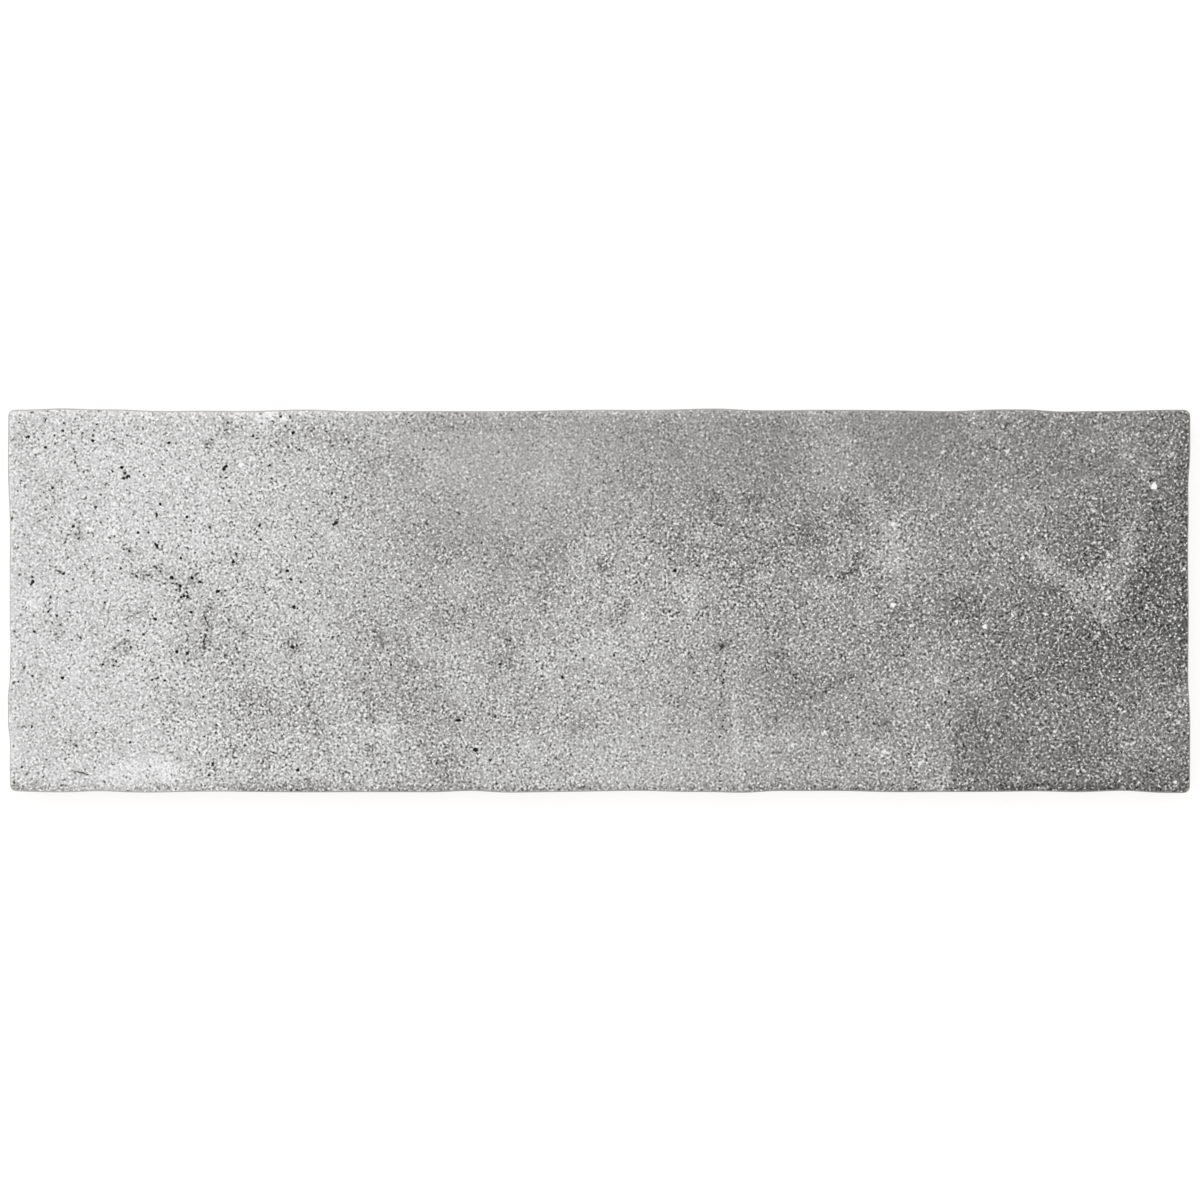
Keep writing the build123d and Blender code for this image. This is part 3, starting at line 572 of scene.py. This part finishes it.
def curve_through(points, step):
    """Smooth cubic curve through the points, in even steps."""
    p = np.array(points, float)
    t = np.concatenate(([0.0], np.cumsum(np.hypot(*np.diff(p, axis=0).T))))
    n, h = len(t), np.diff(t)
    a, r = np.zeros((n, n)), np.zeros((n, 2))
    a[0, 0] = a[-1, -1] = 1.0
    for i in range(1, n - 1):
        a[i, i - 1 : i + 2] = h[i - 1], 2.0 * (h[i - 1] + h[i]), h[i]
        r[i] = 6.0 * ((p[i + 1] - p[i]) / h[i] - (p[i] - p[i - 1]) / h[i - 1])
    m = np.linalg.solve(a, r)
    s = np.linspace(0.0, t[-1], int(round(t[-1] / step)) + 1)
    i = np.clip(np.searchsorted(t, s, side="right") - 1, 0, n - 2)
    u, w, k = (s - t[i])[:, None], (t[i + 1] - s)[:, None], h[i][:, None]
    return (
        (m[i] * w**3 + m[i + 1] * u**3) / (6.0 * k)
        + (p[i] / k - m[i] * k / 6.0) * w
        + (p[i + 1] / k - m[i + 1] * k / 6.0) * u
    )


def rounded_outline(sides, radius, arc_steps):
    """One closed anticlockwise outline from four sides end to end, its corners rounded."""
    arcs, cuts = [], []
    for a, b in zip(sides, sides[1:] + sides[:1]):
        corner = a[-1]
        back = a[np.hypot(*(a - corner).T) > radius][-1]
        ahead = b[np.hypot(*(b - corner).T) > radius][0]
        t1 = (corner - back) / np.hypot(*(corner - back))
        t2 = (ahead - corner) / np.hypot(*(ahead - corner))
        turn = math.atan2(t1[0] * t2[1] - t1[1] * t2[0], t1 @ t2)
        cut = radius * math.tan(turn / 2.0)
        normal = np.array((-t1[1], t1[0]))
        middle = corner - t1 * cut + normal * radius
        start = math.atan2(-normal[1], -normal[0])
        swing = start + np.linspace(0.0, turn, arc_steps + 1)
        arcs.append(middle + radius * np.stack((np.cos(swing), np.sin(swing)), 1))
        cuts.append(cut)
    pieces = []
    for i, side in enumerate(sides):
        from_start = np.hypot(*(side - side[0]).T) > cuts[i - 1] + 0.2
        from_end = np.hypot(*(side - side[-1]).T) > cuts[i] + 0.2
        pieces += [side[from_start & from_end], arcs[i]]
    return np.concatenate(pieces)


far = [(x, HALF_W + d) for x, d in FAR_WAVE]
near = [(x, -HALF_W - d) for x, d in NEAR_WAVE]
left = [(-HALF_L - d, y) for y, d in LEFT_WAVE]
right = [(HALF_L + d, y) for y, d in RIGHT_WAVE]
EDGE_STEP = 0.5
outline = rounded_outline(
    [
        curve_through([NEAR_LEFT, *near, NEAR_RIGHT], EDGE_STEP),
        curve_through([NEAR_RIGHT, *right, FAR_RIGHT], EDGE_STEP),
        curve_through([FAR_LEFT, *far, FAR_RIGHT], EDGE_STEP)[::-1],
        curve_through([NEAR_LEFT, *left, FAR_LEFT], EDGE_STEP)[::-1],
    ],
    CORNER_RADIUS,
    8,
)
count = len(outline)
run = np.roll(outline, -1, 0) - np.roll(outline, 1, 0)
inward = np.stack((-run[:, 1], run[:, 0]), 1) / np.hypot(*run.T)[:, None]
steps = np.hypot(*(np.roll(outline, -1, 0) - outline).T)
reach = np.concatenate(([0.0], np.cumsum(steps)))  # along the edge; the last is all round

# The section from the back up the wall and over the arris: how far in, how high,
# and how much bare body shows there
SECTION = [(0.57, 0.0, 1.0), (0.50, 0.02, 1.0), (0.455, 0.08, 1.0)]
SECTION += [
    (SIDE_TAPER_IN * (1.0 - z / SIDE_TAPER_RISE), z, 1.0) for z in (0.2, 0.8, 1.6, 2.4, 2.95)
]
SECTION += [(0.004, 3.25, 1.0)] + [(0.0, z, 1.0) for z in (3.7, 4.6, 5.5, 6.3, 7.0)]
for degrees, bare in ((0, 1), (13, 1), (26, 0.95), (38, 0.6), (50, 0.2), (62, 0), (76, 0), (90, 0)):
    lean = math.radians(degrees)
    SECTION.append(
        (
            ARRIS_RADIUS * (1.0 - math.cos(lean)),
            THICKNESS - ARRIS_RADIUS * (1.0 - math.sin(lean)),
            bare,
        )
    )

swell, ripple, sand, wall_wear = Noise(31), Noise(32), Noise(33), Noise(34)


def relief(x, y):
    """Rise and fall of the pressed face: a slow swell, ripples and sandy grit."""
    return (
        0.10 * swell.rough(x / 46.0, y / 34.0, 2)
        + 0.05 * ripple.rough(x / 11.0, y / 11.0, 2)
        + 0.035 * sand.rough(x / 1.9, y / 1.9, 2, 0.7)
        - 0.03
    )


# ==== the face's points =================================================
GRID = 0.58


def ellipse(cx, cy, a, b, turn, x, y):
    """Distance from the middle of an ellipse in its own half sizes, and the bearing."""
    c, s = math.cos(math.radians(turn)), math.sin(math.radians(turn))
    u = ((x - cx) * c + (y - cy) * s) / a
    v = (-(x - cx) * s + (y - cy) * c) / b
    return np.hypot(u, v), np.arctan2(v, u)


def ellipse_ring(cx, cy, a, b, turn, scale, number, phase):
    t = phase + np.linspace(0.0, 2.0 * np.pi, number, endpoint=False)
    c, s = math.cos(math.radians(turn)), math.sin(math.radians(turn))
    u, v = a * scale * np.cos(t), b * scale * np.sin(t)
    return np.stack((cx + u * c - v * s, cy + u * s + v * c), 1)


rng = np.random.default_rng(41)
rows = np.arange(-HALF_W + 1.25, HALF_W - 1.25 + 1e-6, GRID * math.sqrt(3.0) / 2.0)
grid = []
for j, y in enumerate(rows):
    xs = np.arange(-HALF_L + 1.25 + (j % 2) * GRID / 2.0, HALF_L - 1.25, GRID)
    grid.append(np.stack((xs, np.full(len(xs), y)), 1))
grid = np.concatenate(grid)
grid += rng.uniform(-0.16, 0.16, grid.shape) * GRID

pits, grains = [], []
for px, py, a, b, turn, dark in PITS:
    pits.append((*to_mm(px, py), a * PX, b * PX, turn, 0.02 + 0.10 * dark * min(a, b), dark))
for px, py, a, b, turn, light in GRAINS:
    grains.append((*to_mm(px, py), a * PX, b * PX, turn, light))

extra, clear = [], np.ones(len(grid), bool)
for cx, cy, a, b, turn, *_ in pits + grains:
    far_off, _ = ellipse(cx, cy, a + 0.12, b + 0.12, turn, grid[:, 0], grid[:, 1])
    clear &= far_off > 1.25
    size = math.sqrt(a * b)
    extra.append([(cx, cy)])
    scales = (0.5, 0.85, 1.2) if size < 0.27 else (0.3, 0.6, 0.88, 1.15, 1.5)
    for k, scale in enumerate(scales):
        number = max(6, int(round(2.0 * math.pi * size * scale / 0.17)))
        extra.append(ellipse_ring(cx, cy, a, b, turn, scale, number, 0.7 * k + cx))
for points, width, *_ in CRACKS:
    line = np.array([to_mm(*p) for p in points])
    t = np.concatenate(([0.0], np.cumsum(np.hypot(*np.diff(line, axis=0).T))))
    s = np.arange(0.0, t[-1], 0.2)
    mid = np.stack((np.interp(s, t, line[:, 0]), np.interp(s, t, line[:, 1])), 1)
    go = np.gradient(mid, axis=0)
    across = np.stack((-go[:, 1], go[:, 0]), 1) / np.hypot(*go.T)[:, None]
    for off in (-1.2, 0.0, 1.2):
        extra.append(mid + across * off * width * PX)
    away = np.hypot(grid[:, None, 0] - mid[None, :, 0], grid[:, None, 1] - mid[None, :, 1])
    clear &= away.min(1) > 1.9 * width * PX
extra = np.concatenate([np.array(e, float) for e in extra])
inside = (np.abs(extra[:, 0]) < HALF_L - 1.15) & (np.abs(extra[:, 1]) < HALF_W - 1.15)
face_points = np.concatenate((grid[clear], extra[inside]))

# ==== putting the mesh together =========================================
def triangles_in(points, loops):
    """Triangles over the points, with the loops of edges kept."""
    edges = [(a, b) for loop in loops for a, b in zip(loop, loop[1:] + loop[:1])]
    out = delaunay_2d_cdt([Vector(p) for p in points.tolist()], edges, [], 0, 1e-7, True)
    places, tris, origin = out[0], out[2], out[3]
    first = np.array([o[0] if o else -1 for o in origin])
    assert len(places) == len(points) and (first >= 0).all(), "points met or crossed"
    tris = first[np.array(tris)]
    a, b, c = (points[tris[:, k]] for k in range(3))
    area = (b[:, 0] - a[:, 0]) * (c[:, 1] - a[:, 1]) - (b[:, 1] - a[:, 1]) * (c[:, 0] - a[:, 0])
    tris[area < 0] = tris[area < 0][:, ::-1]
    return tris[np.abs(area) > 1e-9]


# Wall and arris, ring on ring
rings = []
for inset, z, _ in SECTION:
    inset = np.full(count, inset)
    if 0.1 < z < THICKNESS - ARRIS_RADIUS - 0.1:
        inset += 0.035 * wall_wear.rough(reach[:-1] / 2.6, np.full(count, z / 2.6), 2)
    rings.append(np.column_stack((outline + inward * inset[:, None], np.full(count, z))))
wall_points = np.concatenate(rings)
ring_of = np.repeat(np.arange(len(SECTION)), count)

face_ring = rings[-1][:, :2]
all_face = np.concatenate((face_ring, face_points))
tris = triangles_in(all_face, [list(range(count))])
middle = all_face[tris].mean(1)
near_edge = (np.abs(middle[:, 0]) > HALF_L - 2.0) | (np.abs(middle[:, 1]) > HALF_W - 2.0)
keep = np.ones(len(tris), bool)
keep[near_edge] = within(face_ring, *middle[near_edge].T)
tris = tris[keep]

top_start = len(wall_points) - count  # the last ring is the face's own edge
points = np.concatenate((wall_points, np.column_stack((face_points, np.full(len(face_points), THICKNESS)))))
face_tris = tris + top_start

# Back: the plane between the keys, then the keys
back_ring = rings[0][:, :2]


def key_loop(cx, cy, grow):
    """Round-ended key, anticlockwise, grown or shrunk evenly."""
    half, r = (KEY_LENGTH - KEY_WIDTH) / 2.0, KEY_WIDTH / 2.0 + grow
    arc = np.linspace(-np.pi / 2.0, np.pi / 2.0, 13)
    side = np.linspace(-half, half, 9)[1:-1]
    right_end = np.stack((half + r * np.cos(arc), r * np.sin(arc)), 1)
    top = np.stack((side[::-1], np.full(len(side), r)), 1)
    left_end = np.stack((-half - r * np.cos(arc), -r * np.sin(arc)), 1)
    low = np.stack((side, np.full(len(side), -r)), 1)
    return np.concatenate((right_end, top, left_end, low)) + (cx, cy)


KEY_SECTION = [(0.14, 0.0), (0.04, 0.035), (0.0, 0.13), (0.0, 0.4)]
for degrees in (30, 60, 90):
    lean = math.radians(degrees)
    KEY_SECTION.append(
        (
            -KEY_FLOOR_RADIUS * (1.0 - math.cos(lean)),
            KEY_DEPTH - KEY_FLOOR_RADIUS * (1.0 - math.sin(lean)),
        )
    )
key_middles = [
    ((i - (KEY_COLUMNS - 1) / 2.0) * KEY_PITCH_X, (j - (KEY_ROWS - 1) / 2.0) * KEY_PITCH_Y)
    for i in range(KEY_COLUMNS)
    for j in range(KEY_ROWS)
]
mouths = [key_loop(cx, cy, KEY_SECTION[0][0]) for cx, cy in key_middles]
per_key = len(mouths[0])
plane_points = np.concatenate([back_ring, *mouths])
loops = [list(range(count))]
for k in range(len(mouths)):
    loops.append(list(range(count + k * per_key, count + (k + 1) * per_key)))
back_tris = triangles_in(plane_points, loops)
middle = plane_points[back_tris].mean(1)
keep = within(back_ring, *middle.T)
for mouth in mouths:
    keep &= ~within(mouth, *middle.T)
back_tris = back_tris[keep]

key_start = len(points)
key_points, key_uv_points = [], []
KEY_UV_GROW = (0.14, 0.07, 0.0, -0.1, -0.17, -0.24, -0.3)
for cx, cy in key_middles:
    for (grow, z), uv_grow in zip(KEY_SECTION, KEY_UV_GROW):
        loop = key_loop(cx, cy, grow)
        key_points.append(np.column_stack((loop, np.full(per_key, z))))
        key_uv_points.append(key_loop(cx, cy, uv_grow))
key_points = np.concatenate(key_points)
points = np.concatenate((points, key_points))
key_uv_points = np.concatenate(key_uv_points)

# ==== relief, pits and grains over the face and its arris ==============
x, y, z = points.T.copy()
on_top = np.zeros(len(points))  # how far a point shares in the face's relief
on_top[: len(wall_points)] = np.array(
    [smooth(THICKNESS - ARRIS_RADIUS, THICKNESS - 0.1, h) for _, h, _ in SECTION]
)[ring_of]
on_top[len(wall_points) : key_start] = 1.0
bare = np.ones(len(points))
bare[: len(wall_points)] = np.array([b for _, _, b in SECTION])[ring_of]
bare[len(wall_points) : key_start] = 0.0

rise = relief(x, y)
pit_shade, speck = np.zeros(len(points)), np.zeros(len(points))
top = np.flatnonzero(on_top > 0.0)
tx, ty = x[top], y[top]
for k, (cx, cy, a, b, turn, depth, dark) in enumerate(pits):
    close = np.flatnonzero((np.abs(tx - cx) < 2.2 * max(a, b)) & (np.abs(ty - cy) < 2.2 * max(a, b)))
    if not len(close):
        continue
    away, bearing = ellipse(cx, cy, a, b, turn, tx[close], ty[close])
    away = away * (1.0 + 0.07 * np.sin(2.0 * bearing + k) + 0.06 * np.sin(3.0 * bearing + 2.3 * k))
    rise[top[close]] -= depth * smooth(1.2, 0.35, away)
    rise[top[close]] += 0.12 * depth * np.exp(-(((away - 1.35) / 0.22) ** 2))
    # the pit's darkness: painted shade in the hollow
    pit_shade[top[close]] = np.maximum(pit_shade[top[close]], dark * smooth(1.25, 0.6, away))
for k, (cx, cy, a, b, turn, light) in enumerate(grains):
    close = np.flatnonzero((np.abs(tx - cx) < 2.0 * max(a, b)) & (np.abs(ty - cy) < 2.0 * max(a, b)))
    if not len(close):
        continue
    away, bearing = ellipse(cx, cy, a, b, turn, tx[close], ty[close])
    away = away * (1.0 + 0.14 * np.sin(3.0 * bearing + k))
    rise[top[close]] += 0.14 * min(a, b) * smooth(1.2, 0.4, away)
    speck[top[close]] = np.maximum(speck[top[close]], light * smooth(1.25, 0.6, away))
for line, width, depth, dark in CRACKS:
    px, py = to_px(tx, ty)
    dist, _, _ = along(line, px, py)
    rise[top] -= depth * smooth(1.3 * width, 0.2 * width, dist)
    # the crack's darkness: painted shade in the crack
    pit_shade[top] = np.maximum(pit_shade[top], dark * smooth(1.4 * width, 0.3 * width, dist))
z = z + on_top * rise

tone = face_tone(np.clip(x, -HALF_L, HALF_L), np.clip(y, -HALF_W, HALF_W)) / 255.0
tone = np.log(tone / (1.0 - tone))  # grain is added to this, then turned back into a tone
grain = face_grain(x, y)
salt = np.interp(to_px(x, y)[0], (0, 450, 1200), (1.15, 0.85, 0.9)) * np.clip(grain, 0.4, 1.1) ** 1.5  # how far pale grains stand out

# ==== one mesh, with its baking layout ==================================
def flat_uv(xy, v0, v1):
    u = 0.005 + 0.99 * (xy[:, 0] + 101.2) / 202.4
    v = v0 + (v1 - v0) * (xy[:, 1] + 33.6) / 67.2
    return np.stack((u, v), 1)


polys, loop_uv = [], []
top_uv = flat_uv(np.column_stack((x, y)), 0.372, 0.998)
polys += face_tris.tolist()
loop_uv.append(top_uv[face_tris].reshape(-1, 2))

arris_first = len(SECTION) - 8
third = reach[-1] / 3.0
climb = np.concatenate(
    ([0.0], np.cumsum([math.dist(a[:2], b[:2]) for a, b in zip(SECTION, SECTION[1:])]))
)
i = np.arange(count)
j = (i + 1) % count
for r in range(len(SECTION) - 1):
    quads = np.stack((r * count + i, r * count + j, (r + 1) * count + j, (r + 1) * count + i), 1)
    polys += quads.tolist()
    if r >= arris_first:
        loop_uv.append(top_uv[quads].reshape(-1, 2))
        continue
    strip = np.minimum((reach[:-1] / third).astype(int), 2)
    u0 = 0.005 + 0.985 * (reach[:-1] - strip * third) / third
    u1 = 0.005 + 0.985 * (reach[1:] - strip * third) / third
    low = 0.006 + 0.054 * strip + 0.046 * climb[r] / climb[arris_first]
    high = 0.006 + 0.054 * strip + 0.046 * climb[r + 1] / climb[arris_first]
    quad_uv = np.stack((u0, low, u1, low, u1, high, u0, high), 1).reshape(-1, 2)
    loop_uv.append(quad_uv)

back_index = np.concatenate(
    [np.arange(count)]
    + [
        key_start + k * per_key * len(KEY_SECTION) + np.arange(per_key)
        for k in range(len(key_middles))
    ]
)
back_uv = flat_uv(np.column_stack((x, y)), 0.175, 0.360)
back_uv[key_start:] = flat_uv(key_uv_points, 0.175, 0.360)
down = back_index[back_tris][:, ::-1]
polys += down.tolist()
loop_uv.append(back_uv[down].reshape(-1, 2))

m = np.arange(per_key)
n = (m + 1) % per_key
for k in range(len(key_middles)):
    first = key_start + k * per_key * len(KEY_SECTION)
    for r in range(len(KEY_SECTION) - 1):
        a, b = first + r * per_key, first + (r + 1) * per_key
        quads = np.stack((a + n, a + m, b + m, b + n), 1)[:, ::-1]
        polys += quads.tolist()
        loop_uv.append(back_uv[quads].reshape(-1, 2))
    floor_loop = (first + (len(KEY_SECTION) - 1) * per_key + m)[::-1]
    polys.append(floor_loop.tolist())
    loop_uv.append(back_uv[floor_loop])

mesh = bpy.data.meshes.new("tile_body")
mesh.from_pydata((np.column_stack((x, y, z)) * 0.001).tolist(), [], polys)
layer = mesh.uv_layers.new(name="OFBake")
layer.data.foreach_set("uv", np.concatenate(loop_uv).astype(np.float32).ravel())
for name, values in (
    ("tone", tone),
    ("grain", grain),
    ("salt", salt),
    ("pit_shade", pit_shade),
    ("speck", speck),
    ("bare", bare),
):
    mesh.attributes.new(name, "FLOAT", "POINT").data.foreach_set("value", values.astype(np.float32))
mesh.polygons.foreach_set("use_smooth", np.ones(len(mesh.polygons), bool))
mesh.set_sharp_from_angle(angle=math.radians(48.0))
mesh.update()
print("tile_body", len(mesh.vertices), "points", sum(len(p.vertices) - 2 for p in mesh.polygons), "triangles")
print("bad mesh" if mesh.validate(verbose=True) else "clean mesh")

tile = bpy.data.objects.new("tile_body", mesh)
bpy.context.scene.collection.objects.link(tile)
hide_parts("tile")
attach(tile, "root")

# ==== the finish ========================================================
stoneware = bpy.data.materials.new("concrete_look_glaze")
stoneware.use_nodes = True
tree = stoneware.node_tree
tree.nodes.clear()


def node(kind, inputs=None, **settings):
    made = tree.nodes.new(kind)
    for key, value in settings.items():
        setattr(made, key, value)
    for key, value in (inputs or {}).items():
        if isinstance(value, bpy.types.NodeSocket):
            tree.links.new(value, made.inputs[key])
        else:
            made.inputs[key].default_value = value
    return made


def calc(operation, *values, clamp=False):
    made = node("ShaderNodeMath", dict(enumerate(values)), operation=operation, use_clamp=clamp)
    return made.outputs[0]


def ramp(value, low, high, out_low=0.0, out_high=1.0):
    made = node(
        "ShaderNodeMapRange",
        {"Value": value, "From Min": low, "From Max": high, "To Min": out_low, "To Max": out_high},
        interpolation_type="SMOOTHSTEP",
    )
    return made.outputs["Result"]


def blend(factor, a, b):
    """One colour going over into another."""
    made = node("ShaderNodeMix", data_type="RGBA")
    for socket, value in ((0, factor), (6, a), (7, b)):
        if isinstance(value, bpy.types.NodeSocket):
            tree.links.new(value, made.inputs[socket])
        else:
            made.inputs[socket].default_value = value
    return made.outputs[2]


def painted(name):
    return node("ShaderNodeAttribute", attribute_name=name, attribute_type="GEOMETRY").outputs["Fac"]


place = node("ShaderNodeTexCoord").outputs["Object"]
mm = node("ShaderNodeVectorMath", {0: place, 1: (1000.0, 1000.0, 1000.0)}, operation="MULTIPLY").outputs[0]
height = node("ShaderNodeSeparateXYZ", {0: mm}).outputs["Z"]


def noise(cell, shift, detail=0.0, rough=0.5, turn=None, stretch=(1.0, 1.0, 1.0)):
    """Noise about 0, with cells of this many millimetres; with a turn in degrees it lies flat on the face."""
    moved = node(
        "ShaderNodeMapping",
        {
            "Vector": mm,
            "Location": shift,
            "Rotation": (0.0, 0.0, math.radians(turn or 0.0)),
            "Scale": stretch,
        },
    ).outputs[0]
    made = node(
        "ShaderNodeTexNoise",
        {"Vector": moved, "Scale": 1.0 / cell, "Detail": detail, "Roughness": rough},
        noise_dimensions="3D" if turn is None else "2D",
    )
    return calc("SUBTRACT", made.outputs["Fac"], 0.5)


pattern = calc("MULTIPLY", noise(0.43, (3.1, 7.7, 0.0), turn=19.0), 0.72)
pattern = calc("MULTIPLY_ADD", noise(0.43, (5.8, 1.4, 0.0), turn=64.0), 0.72, pattern)
pattern = calc("MULTIPLY_ADD", noise(0.92, (13.9, 2.2, 0.0), turn=41.0), 0.28, pattern)
pattern = calc("MULTIPLY_ADD", noise(1.84, (8.2, 19.6, 0.0), turn=73.0), 0.12, pattern)
patchy = calc("MULTIPLY_ADD", noise(2.4, (1.7, 23.5, 0.0), 1.0, 0.6, turn=28.0), 1.5, 1.0)
sharper = calc("MULTIPLY_ADD", calc("ABSOLUTE", pattern), 1.8, 0.72)
sharper = calc("MULTIPLY_ADD", pattern, 0.4, sharper)
salt_pepper = calc("MULTIPLY", calc("MULTIPLY", pattern, sharper), patchy)

# The glaze: tone, grain, painted shade in the pits and cracks, and pale grains
GRAIN = 2.35
level = calc("MULTIPLY_ADD", calc("MULTIPLY", salt_pepper, painted("grain")), GRAIN, painted("tone"))
salt = calc("MAXIMUM", calc("SUBTRACT", noise(0.44, (21.3, 9.4, 0.0), turn=52.0), 0.19), 0.0)
level = calc("MULTIPLY_ADD", calc("MULTIPLY", salt, painted("salt")), 16.0, level)
# painted shade in the pits and cracks darkens the glaze
level = calc("MULTIPLY_ADD", painted("pit_shade"), -4.1, level)
level = calc("MULTIPLY_ADD", painted("speck"), 2.4, level)
shade = calc("DIVIDE", 1.0, calc("ADD", 1.0, calc("EXPONENT", calc("MULTIPLY", level, -1.0))))

GAIN = 0.915  # how far the studio light lifts the finish
linear = calc("MULTIPLY", calc("POWER", shade, 2.2), GAIN)
warm = ramp(shade, 0.62, 0.80, 1.0, 0.0)
glaze = node(
    "ShaderNodeCombineColor",
    {
        "Red": calc("MULTIPLY", linear, calc("MULTIPLY_ADD", warm, 0.016, 1.0)),
        "Green": linear,
        "Blue": calc("MULTIPLY", linear, calc("MULTIPLY_ADD", warm, -0.030, 1.0)),
    },
).outputs["Color"]

# The bare body: warm and cloudy, with iron specks, drag marks up the walls and a chalky wash on the back
body_grain = noise(0.6, (31.0, 5.0, 2.0), 2.0, 0.6)
body_cloud = noise(9.0, (2.0, 41.0, 7.0), 2.0, 0.5)
on_wall = ramp(height, 0.05, 0.5)
drag = calc("MULTIPLY", noise(0.8, (4.0, 9.0, 1.0), 1.0, 0.5, stretch=(1.0, 1.0, 0.07)), on_wall)
body_tone = calc("MULTIPLY_ADD", body_grain, 0.42, calc("MULTIPLY_ADD", body_cloud, 0.55, 0.5))
body_tone = calc("MULTIPLY_ADD", drag, 0.40, body_tone)
biscuit = blend(body_tone, (0.40, 0.335, 0.262, 1.0), (0.68, 0.61, 0.52, 1.0))
streak = noise(1.1, (7.0, 3.0, 5.0), 2.0, 0.6, stretch=(0.09, 1.0, 1.0))
chalky = ramp(calc("ADD", streak, calc("MULTIPLY", body_cloud, 0.9)), -0.12, 0.22)
chalky = calc("MULTIPLY", chalky, ramp(height, 0.25, 0.04, 0.0, 0.62))
biscuit = blend(chalky, biscuit, (0.74, 0.71, 0.66, 1.0))
iron = node(
    "ShaderNodeTexVoronoi",
    {"Vector": mm, "Scale": 1.0 / 1.3, "Randomness": 1.0},
)
which = node("ShaderNodeSeparateColor", {0: iron.outputs["Color"]})
spot = ramp(
    calc("SUBTRACT", iron.outputs["Distance"], calc("MULTIPLY", which.outputs["Green"], 0.10)), 0.09, 0.02
)
spot = calc("MULTIPLY", spot, ramp(which.outputs["Red"], 0.55, 0.75))
biscuit = blend(calc("MULTIPLY", spot, 0.75), biscuit, (0.165, 0.115, 0.075, 1.0))

# Where the glaze thins over the arris and its last mist down the wall
drip = noise(2.6, (12.0, 6.0, 3.0), 2.0, 0.5)
thin = calc("MULTIPLY_ADD", body_grain, 0.6, calc("MULTIPLY_ADD", drip, 1.5, height))
thin = ramp(thin, 6.85, 7.4)
mist = noise(0.34, (17.0, 2.0, 8.0), 1.0, 0.5)
mist = ramp(calc("ADD", mist, ramp(height, 2.0, 7.2, 0.0, 0.20)), 0.26, 0.40, 0.0, 0.7)
rim_tone = blend(
    ramp(painted("tone"), -0.2, 1.4), (0.295, 0.268, 0.252, 1.0), (0.455, 0.428, 0.408, 1.0)
)
rim = blend(calc("MAXIMUM", thin, mist), biscuit, rim_tone)

bare_here = calc("MULTIPLY_ADD", body_grain, 0.5, painted("bare"))
bare_here = ramp(bare_here, 0.3, 0.7)
colour = blend(bare_here, glaze, rim)

dull = calc("MULTIPLY_ADD", salt_pepper, -0.35, 0.66)
dull = calc("MULTIPLY_ADD", painted("pit_shade"), 0.2, dull)
rough = calc("MAXIMUM", calc("MULTIPLY", bare_here, 0.9), dull, clamp=True)

body_height = calc("MULTIPLY_ADD", drag, 0.9, calc("MULTIPLY", body_grain, 1.1))
body_height = calc("MULTIPLY_ADD", spot, -0.6, body_height)
bump_height = calc("MULTIPLY_ADD", body_height, bare_here, salt_pepper)
bump = node(
    "ShaderNodeBump",
    {"Strength": 0.6, "Distance": 0.00006, "Height": bump_height},
)
skin = node(
    "ShaderNodeBsdfPrincipled",
    {
        "Base Color": colour,
        "Roughness": rough,
        "Normal": bump.outputs["Normal"],
        "Specular IOR Level": 0.35,
    },
)
out = node("ShaderNodeOutputMaterial", {"Surface": skin.outputs["BSDF"]})
mesh.materials.append(stoneware)

# ==== floor, light and camera ===========================================
floor_mesh = bpy.data.meshes.new("floor")
half = 4.0
floor_mesh.from_pydata(
    [(-half, -half, -0.0002), (half, -half, -0.0002), (half, half, -0.0002), (-half, half, -0.0002)],
    [],
    [(0, 1, 2, 3)],
)
floor = bpy.data.objects.new("floor", floor_mesh)
bpy.context.scene.collection.objects.link(floor)
paper = bpy.data.materials.new("floor_paper")
paper.use_nodes = True
paper_skin = paper.node_tree.nodes["Principled BSDF"]
paper_skin.inputs["Base Color"].default_value = (0.42, 0.42, 0.42, 1.0)
paper_skin.inputs["Emission Color"].default_value = (1.0, 1.0, 1.0, 1.0)
paper_skin.inputs["Emission Strength"].default_value = 0.64
paper_skin.inputs["Roughness"].default_value = 0.9
paper_skin.inputs["Specular IOR Level"].default_value = 0.1
floor_mesh.materials.append(paper)

world = bpy.data.worlds.new("studio")
world.use_nodes = True
sky = world.node_tree.nodes["Background"]
sky.inputs["Color"].default_value = (1.0, 1.0, 1.0, 1.0)
sky.inputs["Strength"].default_value = 0.9
bpy.context.scene.world = world

key = bpy.data.lights.new("softbox", "AREA")
key.shape = "DISK"
key.size = 1.4
key.energy = 6.0
key_object = bpy.data.objects.new("softbox", key)
key_object.location = (-0.55, 0.45, 1.5)
key_object.rotation_euler = (-key_object.location).to_track_quat("-Z", "Y").to_euler()
bpy.context.scene.collection.objects.link(key_object)

camera_data = bpy.data.cameras.new("camera")
camera_data.lens = 200.0
camera_data.sensor_width = 36.0
camera_data.clip_end = 100.0
camera = bpy.data.objects.new("camera", camera_data)
frame_width = 1200 * PX * 0.001  # the photograph's 1200 pixels across, at the tile's edge
middle_x, middle_y = to_mm(600.0, 600.0)
camera.location = (
    middle_x * 0.001,
    middle_y * 0.001,
    0.0078 + frame_width * camera_data.lens / camera_data.sensor_width,
)
bpy.context.scene.collection.objects.link(camera)
bpy.context.scene.camera = camera
bpy.context.scene.view_settings.view_transform = "Standard"
